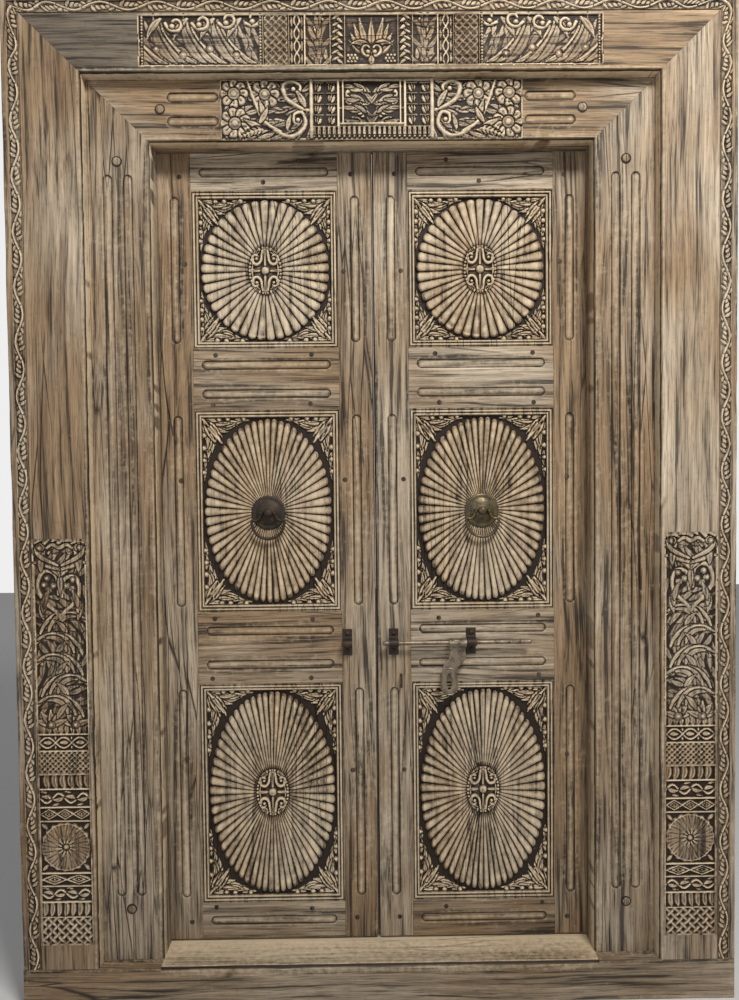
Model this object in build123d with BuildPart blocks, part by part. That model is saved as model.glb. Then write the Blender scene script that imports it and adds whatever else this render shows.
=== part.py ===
from build123d import *
import os
from math import atan2, cos, degrees, pi, radians, sin, sqrt

os.makedirs("parts", exist_ok=True)

# A carved double temple door in its timber frame, in millimetres.
# X runs to the right seen from the front, Y into the wall and Z up.
# The origin is at the middle of the foot of the frame, in the plane of its front face.

# Frame
frame_width = 1720
frame_height = 2400
frame_depth = 150
sill_height = 98
outer_jamb_width = 183
outer_lintel_height = 180
inner_jamb_width = 147
inner_lintel_height = 144
inner_setback = 36
edge_chamfer = 4
arris_chamfer = 6
sill_chamfer = 8

# Vine border along the outer edge of the frame
border_fillet = 14
border_width = 27
border_line = 3
vine_bay = 68
vine_stem = 6
vine_lap = 0.3
vine_depth = 6

# Chip carving: a leaf is widest at a share of its length, and shapes fill a share of their place
chip_depth = 6
chip_margin = 1
leaf_widest = 0.4
leaf_share = 0.8
diamond_share = 0.84
petal_share = 0.62
flower_eye = 0.28

# Carved bands on the foot of each outer jamb: their edges above the sill, and what each holds
band_edges = (62, 128, 165, 204, 235, 362, 395, 439, 475, 531, 572)
band_patterns = (("diamonds", 3, 2), ("leaves", 5, 0), ("leaves", 4, 35), ("diamonds", 4, 1),
                 ("flower", 8, 0), ("leaves", 4, -35), ("leaves", 4, 0), ("leaves", 5, 0),
                 ("diamonds", 3, 2), ("diamonds", 3, 1))
band_side_margin = 12
band_gap = 4
plant_height = 465
plant_pairs = 5
plant_foot = 0.2
plant_slimness = 3
plant_splay = 50
plant_taper = 0.5

# Carved panels of the outer lintel: a middle plant, then strips and panels to each side
lintel_band_margin = 14
lintel_edges = (62, 96, 155, 192, 252, 540)
strip_leaves = 3
net_columns = 2
net_rows = 3
bough_count = 6
bough_start = 0.3
bough_slimness = 2
bough_splay = 62

# Leaves of a free pattern: place across and up, length and width as shares of its height, angle
scroll_leaves = ((0.3, 0.5, 0.45, 0.17, 70), (0.7, 0.5, 0.45, 0.17, 250),
                 (0.2, 0.12, 0.36, 0.12, 15), (0.8, 0.88, 0.36, 0.12, 195))
plant_leaves = ((0.5, 0.45, 0.52, 0.16, 90), (0.54, 0.05, 0.48, 0.14, 28), (0.46, 0.05, 0.48, 0.14, 152),
                (0.54, 0.35, 0.44, 0.13, 44), (0.46, 0.35, 0.44, 0.13, 136))
flower_leaves = ((0.05, 0.06, 0.6, 0.13, 68), (0.4, 0.06, 0.56, 0.13, 24), (0.52, 0.9, 0.4, 0.12, -68))
flower_places = ((0.76, 0.73, 0.19, 5), (0.3, 0.7, 0.17, 5), (0.88, 0.22, 0.15, 5))

# Carved block of the inner lintel
block_half = 359
block_relief = 10
block_margin = 2
block_panels = (79, 143, 359)
block_edge = 6
column_leaves = 2
fringe_height = 28
fringe_count = 10

# Flutes
flute_width = 20
flute_depth = 4
frame_flute_pitch = 48
frame_flute_foot = 157
frame_flute_head = 76
lintel_flute_length = 124
lintel_flute_pitch = 56
leaf_flute_inset = 13
rail_flute_inset = 20
rail_flute_spread = 0.47

# Frame pegs
frame_peg_radius = 11
frame_peg_length = 36
frame_peg_proud = 4
frame_peg_sides = 8
frame_peg_space = 8

# Leaves
leaf_thickness = 40
leaf_foot_gap = 5
rebate = 12
rebate_seat_gap = 0.5
leaf_side_gap = 1.5
meeting_gap = 5
meeting_stile_width = 84
hinge_stile_face = 81
top_rail_height = 101.5
top_opening_height = 388
upper_rail_height = 152
middle_opening_height = 506
lower_rail_height = 182
bottom_rail_height = 93
moulding_width = 16
moulding_quirk = 3
moulding_depth = 10
tenon_length = 46
tenon_thickness = 12
tenon_shoulder = 20
tenon_gap = 0.3

# Sunburst panels
panel_ground = 13
panel_thickness = 16
panel_tongue = 8
panel_edge_gap = 0.5
burst_margin_x = 8
burst_margin_z = 4
ray_height = 9
ray_groove_depth = 7
ray_groove_share = 0.8
ray_overshoot = 1.05
top_rays = 41
middle_rays = 56
bottom_rays = 61
hub_half_width = 42
hub_half_height = 60
hub_rim = 7
hub_depth = 5
hub_boss = 10
hub_arm_width = 15
hub_arms = 6
plain_hub = 20
sprig_height = 7
sprig_inset = 6
sprig_length = 58
sprig_width = 18
sprig_splay = 36
sprig_heading = 225

# Hinges, hidden on the back of the leaves
hinge_above_foot = 227
hinge_below_head = 296.5
hinge_plate = 3
hinge_width = 34
knuckle_radius = 6.5
knuckle_length = 45
knuckle_sides = 8
knuckle_clear = 0.8
knuckle_gap = 0.3
hinge_pin_radius = 3
hinge_pin_length = 40
hinge_pin_sides = 10
pin_running_gap = 0.08

# Ring pulls
pull_below_middle = 4
pull_plate_radius = 44
pull_plate_edge = 2
pull_plate_sides = 16
pull_dome_radius = 31
pull_dome_height = 14
pull_dome_sides = 10
pull_boss_radius = 11
pull_boss_height = 24
ring_axis_rise = 15
ring_pin_radius = 2.8
ring_pin_gap = 0.15
ring_wire = 3.2
ring_wire_sides = 6
ring_half_width = 39
ring_neck = 23
ring_shoulder_drop = 20
ring_drop = 65
ring_bow_runs = 7
eye_radius = 5.5
eye_thickness = 6
eye_root = 2
eye_side_gap = 0.3
eye_sides = 8

# Bolt, its straps and the hasp that turns on it
bolt_above_middle = 12
bolt_rise = 22
bolt_radius = 5.5
bolt_sides = 10
bolt_length = 372
shot_tip = -105
keeper_centre = -73
near_strap_centre = 43
far_strap_centre = 238
strap_width = 24
strap_thickness = 3
strap_room = 0.6
strap_foot = 24
collar_centre_shot = 83
collar_length = 46
collar_radius = 11
collar_sides = 8
neck_radius = 4.5
neck_gap = 0.08
collar_end_gap = 0.4
bolt_stop_gap = 0.5
hasp_plate = 4
hasp_shift = 22
hasp_eye_drop = 98
hasp_eye_width = 44
hasp_eye_height = 70
hasp_eye_corner = 9
hasp_neck_width = 30
hasp_shoulder_drop = 22
hasp_slot_width = 10
hasp_slot_height = 42
staple_clear = 2
staple_bar = 5
staple_half_height = 16
nail_radius = 5
nail_height = 3
nail_sides = 6

# Values worked out from the sizes above
half_width = frame_width / 2
outer_open_x = half_width - outer_jamb_width
outer_open_z = frame_height - outer_lintel_height
inner_open_x = outer_open_x - inner_jamb_width
inner_open_z = outer_open_z - inner_lintel_height
leaf_back = frame_depth
leaf_face = leaf_back - leaf_thickness
rebate_y = leaf_face - rebate_seat_gap
leaf_near = meeting_gap / 2
leaf_far = inner_open_x + rebate - leaf_side_gap
leaf_low = sill_height + leaf_foot_gap
leaf_high = inner_open_z + rebate - leaf_side_gap
top_rail_bottom = leaf_high - top_rail_height
upper_rail_top = top_rail_bottom - top_opening_height
upper_rail_bottom = upper_rail_top - upper_rail_height
lower_rail_top = upper_rail_bottom - middle_opening_height
lower_rail_bottom = lower_rail_top - lower_rail_height
bottom_rail_top = leaf_low + bottom_rail_height
panel_near = leaf_near + meeting_stile_width
panel_far = inner_open_x - hinge_stile_face
panel_middle = (panel_near + panel_far) / 2
edge_near = panel_near + moulding_width
edge_far = panel_far - moulding_width
ground_y = leaf_face + panel_ground
ray_top_y = ground_y - ray_height
border_total = border_fillet + border_width
border_x = half_width - border_total
border_z = frame_height - border_total
band_levels = [sill_height + edge for edge in band_edges]
plant_top = band_levels[-1] + plant_height
frame_flute_low = sill_height + frame_flute_foot
frame_flute_high = inner_open_z - frame_flute_head
hinge_levels = (leaf_low + hinge_above_foot, leaf_high - hinge_below_head)
pull_level = (lower_rail_top + upper_rail_bottom) / 2 - pull_below_middle
bolt_level = (lower_rail_bottom + lower_rail_top) / 2 + bolt_above_middle
tenon_y = ground_y + (panel_thickness - tenon_thickness) / 2
openings = ((bottom_rail_top, lower_rail_bottom), (lower_rail_top, upper_rail_bottom),
            (upper_rail_top, top_rail_bottom))
rails = {"bottom_rail": (leaf_low, bottom_rail_top),
         "lower_rail": (lower_rail_bottom, lower_rail_top),
         "upper_rail": (upper_rail_bottom, upper_rail_top),
         "top_rail": (top_rail_bottom, leaf_high)}


def front(y):
    """The plane of the front view at depth y: its x is X, its y is Z, its normal faces the viewer."""
    return Plane.XZ.offset(-y)


def save(builder, name):
    builder.part.label = name
    export_step(builder.part, f"parts/{name}.step")


def save_pair(builder, name):
    """Writes a right-hand piece and its mirror image on the left."""
    save(builder, f"right_{name}")
    with BuildPart() as other:
        mirror(builder.part, about=Plane.YZ)
    save(other, f"left_{name}")


def polygon(points):
    """A polygon that stays where its points are."""
    Polygon(*points, align=None)


def prism(plane, centre, radius, sides, length):
    """A bar of many sides from the plane, as thick over its flats as a round one."""
    with BuildSketch(plane) as end:
        with Locations(centre):
            RegularPolygon(radius, sides, major_radius=False)
    extrude(end.sketch, amount=length)


# Carving: every chip is a pyramid, cut into the wood or left standing on it


def pyramid(base, tip):
    faces = [Face(Wire.make_polygon(base))]
    for i in range(len(base)):
        faces.append(Face(Wire.make_polygon([base[i - 1], base[i], tip])))
    return Solid(Shell(faces))


def chip(outline, face_y, depth):
    """A pyramid on an outline in the face, with its tip that deep behind it.

    A negative depth stands it out of the face. Its base lies a little beyond the face.
    """
    cx = sum(x for x, z in outline) / len(outline)
    cz = sum(z for x, z in outline) / len(outline)
    grow = 1 + chip_margin / abs(depth)
    base_y = face_y - chip_margin if depth > 0 else face_y + chip_margin
    base = [Vector(cx + (x - cx) * grow, base_y, cz + (z - cz) * grow) for x, z in outline]
    return pyramid(base, Vector(cx, face_y + depth, cz))


def carve(outlines, face_y, depth):
    """Cuts chips into the part, or stands them on it if the depth is negative."""
    mode = Mode.SUBTRACT if depth > 0 else Mode.ADD
    add([chip(outline, face_y, depth) for outline in outlines], mode=mode)


def leaf(x, z, length, width, angle):
    """The outline of a pointed leaf that starts at x, z."""
    c, s = cos(radians(angle)), sin(radians(angle))
    shape = ((0, 0), (length * leaf_widest, width / 2), (length, 0), (length * leaf_widest, -width / 2))
    return [(x + a * c - b * s, z + a * s + b * c) for a, b in shape]


def leaves(low_x, low_z, high_x, high_z, count, lean):
    """Leaves side by side, leaning by an angle."""
    step = (high_x - low_x) / count
    tall = high_z - low_z
    drift = tall * sin(radians(lean)) / 2
    return [leaf(low_x + step * (i + 0.5) + drift, low_z, tall, step * leaf_share, 90 + lean)
            for i in range(count)]


def diamonds(low_x, low_z, high_x, high_z, columns, rows):
    """A net of diamonds."""
    step_x, step_z = (high_x - low_x) / columns, (high_z - low_z) / rows
    a, b = step_x * diamond_share / 2, step_z * diamond_share / 2
    places = [(low_x + step_x * (i + 0.5), low_z + step_z * (j + 0.5))
              for i in range(columns) for j in range(rows)]
    return [[(x - a, z), (x, z - b), (x + a, z), (x, z + b)] for x, z in places]


def flower(x, z, radius, petals):
    """Petals round an eye."""
    eye = radius * flower_eye
    wide = 2 * pi * radius / petals * petal_share
    turns = [360 * (i + 0.5) / petals for i in range(petals)]
    return [leaf(x + eye * cos(radians(a)), z + eye * sin(radians(a)), radius - eye, wide, a)
            for a in turns]


def spray(low_x, low_z, high_x, high_z, pattern):
    """The leaves of a free pattern in its panel."""
    wide, tall = high_x - low_x, high_z - low_z
    return [leaf(low_x + wide * x, low_z + tall * z, tall * length, tall * width, angle)
            for x, z, length, width, angle in pattern]


def vine(start, along, across, length):
    """The chips on alternate sides of a waving stem, which runs along the border."""
    count = max(1, round(length / vine_bay))
    bay = length / count
    outlines = []
    for i in range(1, count - 1):
        near, far = (0, border_width - vine_stem) if i % 2 else (border_width, vine_stem)
        corners = ((i - vine_lap, near), (i + 1 + vine_lap, near), (i + 0.5, far))
        outlines.append([(start[0] + along[0] * s * bay + across[0] * t,
                          start[1] + along[1] * s * bay + across[1] * t) for s, t in corners])
    return outlines


def mirrored(outlines):
    return [[(-x, z) for x, z in outline] for outline in outlines]


# Outer frame

carve_near = outer_open_x + band_side_margin
carve_far = border_x - band_side_margin / 2
carve_middle = (carve_near + carve_far) / 2


def tall_plant(low, high):
    """Leaves in pairs along a stem, shorter towards the top."""
    step = (high - low) / (plant_pairs + 1)
    outlines = []
    for i in range(plant_pairs):
        reach = (carve_far - carve_near) / 2 * (1 + plant_taper / 2 - plant_taper * i / plant_pairs)
        for side in (-1, 1):
            outlines.append(leaf(carve_middle + side * band_gap, low + step * (i + plant_foot), reach,
                                 step / plant_slimness, 90 - side * plant_splay))
    return outlines


def jamb_bands():
    """The stack of carved bands at the foot of a jamb, with the plant above it."""
    outlines = tall_plant(band_levels[-1], plant_top)
    for (pattern, count, extra), low, high in zip(band_patterns, band_levels, band_levels[1:]):
        low, high = low + band_gap, high - band_gap
        if pattern == "flower":
            outlines += flower(carve_middle, (low + high) / 2, (high - low) / 2, count)
        elif pattern == "diamonds":
            outlines += diamonds(carve_near, low, carve_far, high, count, extra)
        else:
            outlines += leaves(carve_near, low, carve_far, high, count, extra)
    return outlines


with BuildPart() as outer_jamb:
    with BuildSketch(front(0)):
        polygon(((outer_open_x, sill_height), (half_width, sill_height),
                 (half_width, frame_height), (outer_open_x, outer_open_z)))
    extrude(amount=-frame_depth)
    front_edges = outer_jamb.edges().filter_by(Axis.Z).group_by(Axis.Y)[0]
    chamfer(front_edges.sort_by(Axis.X)[0], arris_chamfer)
    chamfer(front_edges.sort_by(Axis.X)[-1], edge_chamfer)
    with BuildSketch(front(0)) as line:
        polygon(((border_x - border_line, sill_height), (border_x, sill_height), (border_x, border_z),
                 (border_x - border_line, border_z - border_line)))
    extrude(line.sketch, amount=-vine_depth, mode=Mode.SUBTRACT)
    carve(vine((half_width - border_fillet, sill_height), (0, 1), (-1, 0), border_z - sill_height),
          0, vine_depth)
    carve(jamb_bands(), 0, chip_depth)
save_pair(outer_jamb, "outer_jamb")

lintel_low = outer_open_z + lintel_band_margin
lintel_high = border_z - lintel_band_margin / 2


def boughs(low_x, high_x):
    """Leaves that grow by turns from the foot and from the head of a long panel."""
    step = (high_x - low_x) / bough_count
    tall = lintel_high - lintel_low
    outlines = []
    for i in range(bough_count):
        z, turn = (lintel_low, 1) if i % 2 else (lintel_high, -1)
        x = low_x + step * (i + bough_start)
        outlines.append(leaf(x, z, tall * leaf_share, step / bough_slimness, turn * bough_splay))
    return outlines


def lintel_side():
    """The carved strips and panels to the right of the middle plant."""
    e = lintel_edges
    outlines = spray(e[1], lintel_low, e[2], lintel_high, scroll_leaves) + boughs(e[4], e[5])
    outlines += diamonds(e[3], lintel_low, e[4], lintel_high, net_columns, net_rows)
    for low, high in ((e[0], e[1]), (e[2], e[3])):
        outlines += diamonds(low, lintel_low, high, lintel_high, 1, strip_leaves)
    return outlines


with BuildPart() as outer_lintel:
    with BuildSketch(front(0)):
        polygon(((-half_width, frame_height), (-outer_open_x, outer_open_z),
                 (outer_open_x, outer_open_z), (half_width, frame_height)))
    extrude(amount=-frame_depth)
    front_edges = outer_lintel.edges().filter_by(Axis.X).group_by(Axis.Y)[0]
    chamfer(front_edges.sort_by(Axis.Z)[0], arris_chamfer)
    chamfer(front_edges.sort_by(Axis.Z)[-1], edge_chamfer)
    with BuildSketch(front(0)) as line:
        polygon(((-border_x, border_z), (border_x, border_z),
                 (border_x - border_line, border_z - border_line),
                 (border_line - border_x, border_z - border_line)))
    extrude(line.sketch, amount=-vine_depth, mode=Mode.SUBTRACT)
    carve(vine((-border_x, frame_height - border_fillet), (1, 0), (0, -1), 2 * border_x), 0, vine_depth)
    carve(spray(-lintel_edges[0], lintel_low, lintel_edges[0], lintel_high, plant_leaves)
          + lintel_side() + mirrored(lintel_side()), 0, chip_depth)
save(outer_lintel, "outer_lintel")

with BuildPart() as sill:
    with BuildSketch(front(0)):
        with Locations((0, sill_height / 2)):
            Rectangle(frame_width, sill_height)
    extrude(amount=-frame_depth)
    with BuildSketch(Plane.YZ.offset(-inner_open_x)) as bevel:
        polygon(((0, sill_height), (0, sill_height - sill_chamfer), (sill_chamfer, sill_height)))
    extrude(bevel.sketch, amount=2 * inner_open_x, mode=Mode.SUBTRACT)
save(sill, "sill")

# Inner frame

jamb_flute_x = (inner_open_x + arris_chamfer + outer_open_x) / 2
lintel_flute_z = (inner_open_z + arris_chamfer + outer_open_z) / 2
lintel_flute_x = block_half + (lintel_flute_length + frame_peg_space) / 2
peg_clear = 2 * frame_peg_radius + frame_peg_space
lintel_peg_x = lintel_flute_x + (lintel_flute_length + peg_clear) / 2
jamb_peg_places = ((jamb_flute_x, frame_flute_high + peg_clear),
                   (jamb_flute_x, frame_flute_low - peg_clear))


def cut_flutes(face_y, places):
    """Cuts stopped flutes, given as (x, z, length, upright), into the face at depth face_y."""
    with BuildSketch(front(face_y)) as outline:
        for x, z, length, upright in places:
            end, side = length / 2, flute_width / 2
            points = ((side, end - side), (0, end), (-side, end - side),
                      (-side, side - end), (0, -end), (side, side - end))
            polygon([(x + a, z + b) if upright else (x + b, z - a) for a, b in points])
    extrude(outline.sketch, amount=-flute_depth, mode=Mode.SUBTRACT)


def cut_peg_holes(places):
    """Blind holes for the frame pegs."""
    with BuildSketch(front(inner_setback)) as holes:
        with Locations(*places):
            RegularPolygon(frame_peg_radius, frame_peg_sides)
    extrude(holes.sketch, amount=frame_peg_proud - frame_peg_length, mode=Mode.SUBTRACT)


with BuildPart() as inner_jamb:
    with BuildSketch(front(inner_setback)):
        polygon(((inner_open_x, sill_height), (outer_open_x, sill_height),
                 (outer_open_x, outer_open_z), (inner_open_x, inner_open_z)))
    extrude(amount=inner_setback - frame_depth)
    front_edges = inner_jamb.edges().filter_by(Axis.Z).group_by(Axis.Y)[0]
    chamfer(front_edges.sort_by(Axis.X)[0], arris_chamfer)
    with BuildSketch(front(rebate_y)) as step:
        polygon(((inner_open_x, sill_height), (inner_open_x + rebate, sill_height),
                 (inner_open_x + rebate, inner_open_z + rebate), (inner_open_x, inner_open_z + rebate)))
    extrude(step.sketch, amount=rebate_y - frame_depth, mode=Mode.SUBTRACT)
    cut_flutes(inner_setback, [(jamb_flute_x + side * frame_flute_pitch / 2,
                                (frame_flute_low + frame_flute_high) / 2,
                                frame_flute_high - frame_flute_low, True) for side in (-1, 1)])
    cut_peg_holes(jamb_peg_places)
save_pair(inner_jamb, "inner_jamb")

block_low = inner_open_z + block_margin
block_high = outer_open_z - block_margin


def block_side():
    """The flower panel and the column of leaves on the right of the carved block."""
    low, high = block_panels[1] + block_edge, block_panels[2] - block_edge
    tall = block_high - block_low
    outlines = spray(low, block_low, high, block_high, flower_leaves)
    for x, z, radius, petals in flower_places:
        outlines += flower(low + (high - low) * x, block_low + tall * z, tall * radius, petals)
    foot = block_low + fringe_height
    middle = (foot + block_high) / 2
    for z0, z1 in ((foot, middle), (middle, block_high - block_edge)):
        outlines += leaves(block_panels[0] + block_edge, z0, block_panels[1] - block_edge, z1,
                           column_leaves, 0)
    return outlines


def fringe():
    """Petals that hang along the foot of the block."""
    step = 2 * block_panels[1] / fringe_count
    half = step * leaf_share / 2
    foot = block_low + block_edge / 2
    places = [step * (i + 0.5) - block_panels[1] for i in range(fringe_count)]
    return [[(x - half, foot), (x + half, foot), (x, block_low + fringe_height - block_edge)]
            for x in places]


with BuildPart() as inner_lintel:
    with BuildSketch(front(inner_setback)):
        polygon(((-outer_open_x, outer_open_z), (-inner_open_x, inner_open_z),
                 (inner_open_x, inner_open_z), (outer_open_x, outer_open_z)))
    extrude(amount=inner_setback - frame_depth)
    front_edges = inner_lintel.edges().filter_by(Axis.X).group_by(Axis.Y)[0]
    chamfer(front_edges.sort_by(Axis.Z)[0], arris_chamfer)
    with BuildSketch(front(rebate_y)) as step:
        with Locations((0, inner_open_z + rebate / 2)):
            Rectangle(2 * (inner_open_x + rebate), rebate)
    extrude(step.sketch, amount=rebate_y - frame_depth, mode=Mode.SUBTRACT)
    with BuildSketch(front(inner_setback + arris_chamfer)) as block:
        with Locations((0, (block_low + block_high) / 2)):
            Rectangle(2 * block_half, block_high - block_low)
    extrude(block.sketch, amount=block_relief + arris_chamfer)
    carve(block_side() + mirrored(block_side()) + fringe()
          + spray(-block_panels[0], block_low + fringe_height, block_panels[0], block_high,
                  scroll_leaves), inner_setback - block_relief, chip_depth)
    cut_flutes(inner_setback, [(sx * lintel_flute_x, lintel_flute_z + sz * lintel_flute_pitch / 2,
                                lintel_flute_length, False) for sx in (-1, 1) for sz in (-1, 1)])
    cut_peg_holes(((-lintel_peg_x, lintel_flute_z), (lintel_peg_x, lintel_flute_z)))
save(inner_lintel, "inner_lintel")

with BuildPart() as frame_pegs:
    with BuildSketch(front(inner_setback + frame_peg_length - frame_peg_proud)):
        with Locations((-lintel_peg_x, lintel_flute_z), (lintel_peg_x, lintel_flute_z),
                       *jamb_peg_places, *[(-x, z) for x, z in jamb_peg_places]):
            RegularPolygon(frame_peg_radius, frame_peg_sides)
    extrude(amount=frame_peg_length)
save(frame_pegs, "frame_pegs")

# Leaf joinery


def cut_openings(low, high):
    """Cuts the moulded edge and the panel groove of each opening that a member borders."""
    slope = degrees(atan2(moulding_width - moulding_quirk, moulding_depth))
    for z0, z1 in openings:
        if z1 < low - moulding_width or z0 > high + moulding_width:
            continue
        with BuildSketch(front(leaf_face)) as mouth:
            with Locations((panel_middle, (z0 + z1) / 2)):
                Rectangle(panel_far - panel_near - 2 * moulding_quirk, z1 - z0 - 2 * moulding_quirk)
        extrude(mouth.sketch, amount=-moulding_depth, taper=slope, mode=Mode.SUBTRACT)
        with BuildSketch(front(ground_y)) as groove:
            with Locations((panel_middle, (z0 + z1) / 2)):
                Rectangle(edge_far - edge_near + 2 * panel_tongue,
                          z1 - z0 - 2 * moulding_width + 2 * panel_tongue)
        extrude(groove.sketch, amount=-panel_thickness, mode=Mode.SUBTRACT)


def rail_outline(low, high):
    """A rail from stile to stile, with its moulded edges mitred at the ends."""
    points = [(panel_near, low), (panel_near, high)]
    if high < leaf_high:
        points += [(edge_near, high + moulding_width), (edge_far, high + moulding_width)]
    points += [(panel_far, high), (panel_far, low)]
    if low > leaf_low:
        points += [(edge_far, low - moulding_width), (edge_near, low - moulding_width)]
    return points


def tenon_outline(low, high, gap):
    """The rectangle that a rail's tenons fill in the front view."""
    with Locations((panel_middle, (low + high) / 2)):
        Rectangle(panel_far - panel_near + 2 * tenon_length + 2 * gap,
                  high - low - 2 * tenon_shoulder + 2 * gap)


def rail_flutes(low, high):
    """One flute on the outer rails and two on the lock rails."""
    run = panel_far - panel_near - 2 * rail_flute_inset
    middle = (low + min(high, inner_open_z)) / 2
    if low == leaf_low or high == leaf_high:
        return [(panel_middle, middle, run, False)]
    spread = (high - low) * rail_flute_spread / 2
    return [(panel_middle, middle - spread, run, False), (panel_middle, middle + spread, run, False)]


for rail_name, (low, high) in rails.items():
    with BuildPart() as rail:
        with BuildSketch(front(leaf_face)):
            polygon(rail_outline(low, high))
        extrude(amount=-leaf_thickness)
        cut_openings(low, high)
        cut_flutes(leaf_face, rail_flutes(low, high))
        with BuildSketch(front(tenon_y)) as tenon:
            tenon_outline(low, high, 0)
        extrude(tenon.sketch, amount=-tenon_thickness)
    save_pair(rail, rail_name)


def cut_mortises():
    """Mortises for the tenons of the four rails."""
    with BuildSketch(front(tenon_y - tenon_gap)) as mortises:
        for low, high in rails.values():
            tenon_outline(low, high, tenon_gap)
    extrude(mortises.sketch, amount=-tenon_thickness - 2 * tenon_gap, mode=Mode.SUBTRACT)


def stile_outline(plain, face, sight):
    """A stile whose moulded edge stands out to the sight line at each opening."""
    points = [(plain, leaf_high), (plain, leaf_low), (face, leaf_low)]
    for z0, z1 in openings:
        points += [(face, z0), (sight, z0 + moulding_width), (sight, z1 - moulding_width), (face, z1)]
    return points + [(face, leaf_high)]


stiles = (("meeting_stile", leaf_near, panel_near, edge_near, (leaf_near + panel_near) / 2),
          ("hinge_stile", leaf_far, panel_far, edge_far, (panel_far + inner_open_x) / 2))

for stile_name, plain, face, sight, flute_x in stiles:
    with BuildPart() as stile:
        with BuildSketch(front(leaf_face)):
            polygon(stile_outline(plain, face, sight))
        extrude(amount=-leaf_thickness)
        cut_openings(leaf_low, leaf_high)
        cut_mortises()
        cut_flutes(leaf_face, [(flute_x, (z0 + z1) / 2, z1 - z0 - 2 * leaf_flute_inset, True)
                               for z0, z1 in openings])
    save_pair(stile, stile_name)

# Sunburst panels


def spoke(cx, cz, rx, rz, turn):
    """A point on an ellipse, counted in turns from the top."""
    angle = pi / 2 + 2 * pi * turn
    return cx + rx * cos(angle), cz + rz * sin(angle)


def distance(a, b):
    return sqrt((a[0] - b[0]) ** 2 + (a[1] - b[1]) ** 2)


def ray_groove(hub, rim, half, lie_y):
    """A valley between two rays: it starts at the hub, and widens and deepens to the rim."""
    run_x, run_z = (rim[0] - hub[0]) * ray_overshoot, (rim[1] - hub[1]) * ray_overshoot
    length = distance(hub, rim) * ray_overshoot
    end_x, end_z = hub[0] + run_x, hub[1] + run_z
    wide = half * ray_overshoot * (ray_groove_depth + chip_margin) / ray_groove_depth
    side_x, side_z = -run_z / length * wide, run_x / length * wide
    base = [Vector(end_x + side_x, lie_y - chip_margin, end_z + side_z),
            Vector(end_x - side_x, lie_y - chip_margin, end_z - side_z),
            Vector(end_x, lie_y + ray_groove_depth * ray_overshoot, end_z)]
    return pyramid(base, Vector(hub[0], lie_y, hub[1]))


def sprigs(cx, cz, half_x, half_z):
    """Two leaves from each corner of the field."""
    outlines = []
    for z_side in (-1, 1):
        for splay in (-sprig_splay / 2, sprig_splay / 2):
            outline = leaf(half_x - sprig_inset, half_z - sprig_inset, sprig_length, sprig_width,
                           sprig_heading + splay)
            outlines.append([(cx + x, cz + z_side * z) for x, z in outline])
            outlines.append([(cx - x, cz + z_side * z) for x, z in outline])
    return outlines


def hub_chips(cx, cz):
    """Arms cut round the boss of a hub, inside its rim."""
    outlines = []
    for i in range(hub_arms):
        near = spoke(cx, cz, hub_boss, hub_boss, i / hub_arms)
        far = spoke(cx, cz, hub_half_width - hub_rim, hub_half_height - hub_rim, i / hub_arms)
        angle = degrees(atan2(far[1] - near[1], far[0] - near[0]))
        outlines.append(leaf(*near, distance(near, far), hub_arm_width, angle))
    return outlines


def sunburst(z0, z1, rays, hub_x, hub_z):
    """The rayed disc of a panel, with its hub, its corner sprigs and the board behind them."""
    cx, cz = panel_middle, (z0 + z1) / 2
    half_x = (edge_far - edge_near) / 2
    half_z = (z1 - z0) / 2 - moulding_width
    rx, rz = half_x - burst_margin_x, half_z - burst_margin_z
    valleys = [(i + 0.5) / rays for i in range(rays)]
    grooves = []
    for turn in valleys:
        ray_width = distance(spoke(cx, cz, rx, rz, turn - 0.5 / rays),
                             spoke(cx, cz, rx, rz, turn + 0.5 / rays))
        grooves.append(ray_groove(spoke(cx, cz, hub_x, hub_z, turn), spoke(cx, cz, rx, rz, turn),
                                  ray_width * ray_groove_share / 2, ray_top_y))
    with BuildPart() as panel:
        with BuildSketch(front(ground_y)):
            polygon([spoke(cx, cz, rx, rz, turn) for turn in valleys])
        extrude(amount=ray_height)
        add(grooves, mode=Mode.SUBTRACT)
        if hub_x > plain_hub:
            carve(hub_chips(cx, cz), ray_top_y, hub_depth)
        with BuildSketch(front(ground_y)) as board:
            with Locations((cx, cz)):
                Rectangle(2 * (half_x + panel_tongue - panel_edge_gap),
                          2 * (half_z + panel_tongue - panel_edge_gap))
        extrude(board.sketch, amount=-panel_thickness)
        carve(sprigs(cx, cz, half_x, half_z), ground_y, -sprig_height)
    return panel


save_pair(sunburst(*openings[0], bottom_rays, hub_half_width, hub_half_height), "bottom_panel")
save_pair(sunburst(*openings[1], middle_rays, plain_hub, plain_hub), "middle_panel")
save_pair(sunburst(*openings[2], top_rays, hub_half_width, hub_half_height), "top_panel")

# Hinges: a pin on the jamb half stands in the knuckle of the leaf half

hinge_x = inner_open_x + rebate - leaf_side_gap / 2
hinge_y = leaf_back + knuckle_radius + knuckle_clear


def hinge_half(side, low):
    """A plate and its knuckle: side 1 on the jamb, -1 on the leaf."""
    reach = hinge_width + knuckle_radius
    with BuildSketch(front(leaf_back)) as plate:
        with Locations((hinge_x + side * reach / 2, low + knuckle_length / 2)):
            Rectangle(reach, knuckle_length)
    extrude(plate.sketch, amount=-hinge_plate)
    prism(Plane.XY.offset(low), (hinge_x, hinge_y), knuckle_radius, knuckle_sides, knuckle_length)


with BuildPart() as jamb_hinges:
    for level in hinge_levels:
        hinge_half(1, level - knuckle_length)
        prism(Plane.XY.offset(level), (hinge_x, hinge_y), hinge_pin_radius, hinge_pin_sides,
              hinge_pin_length)
save_pair(jamb_hinges, "hinge_jamb_halves")

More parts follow.
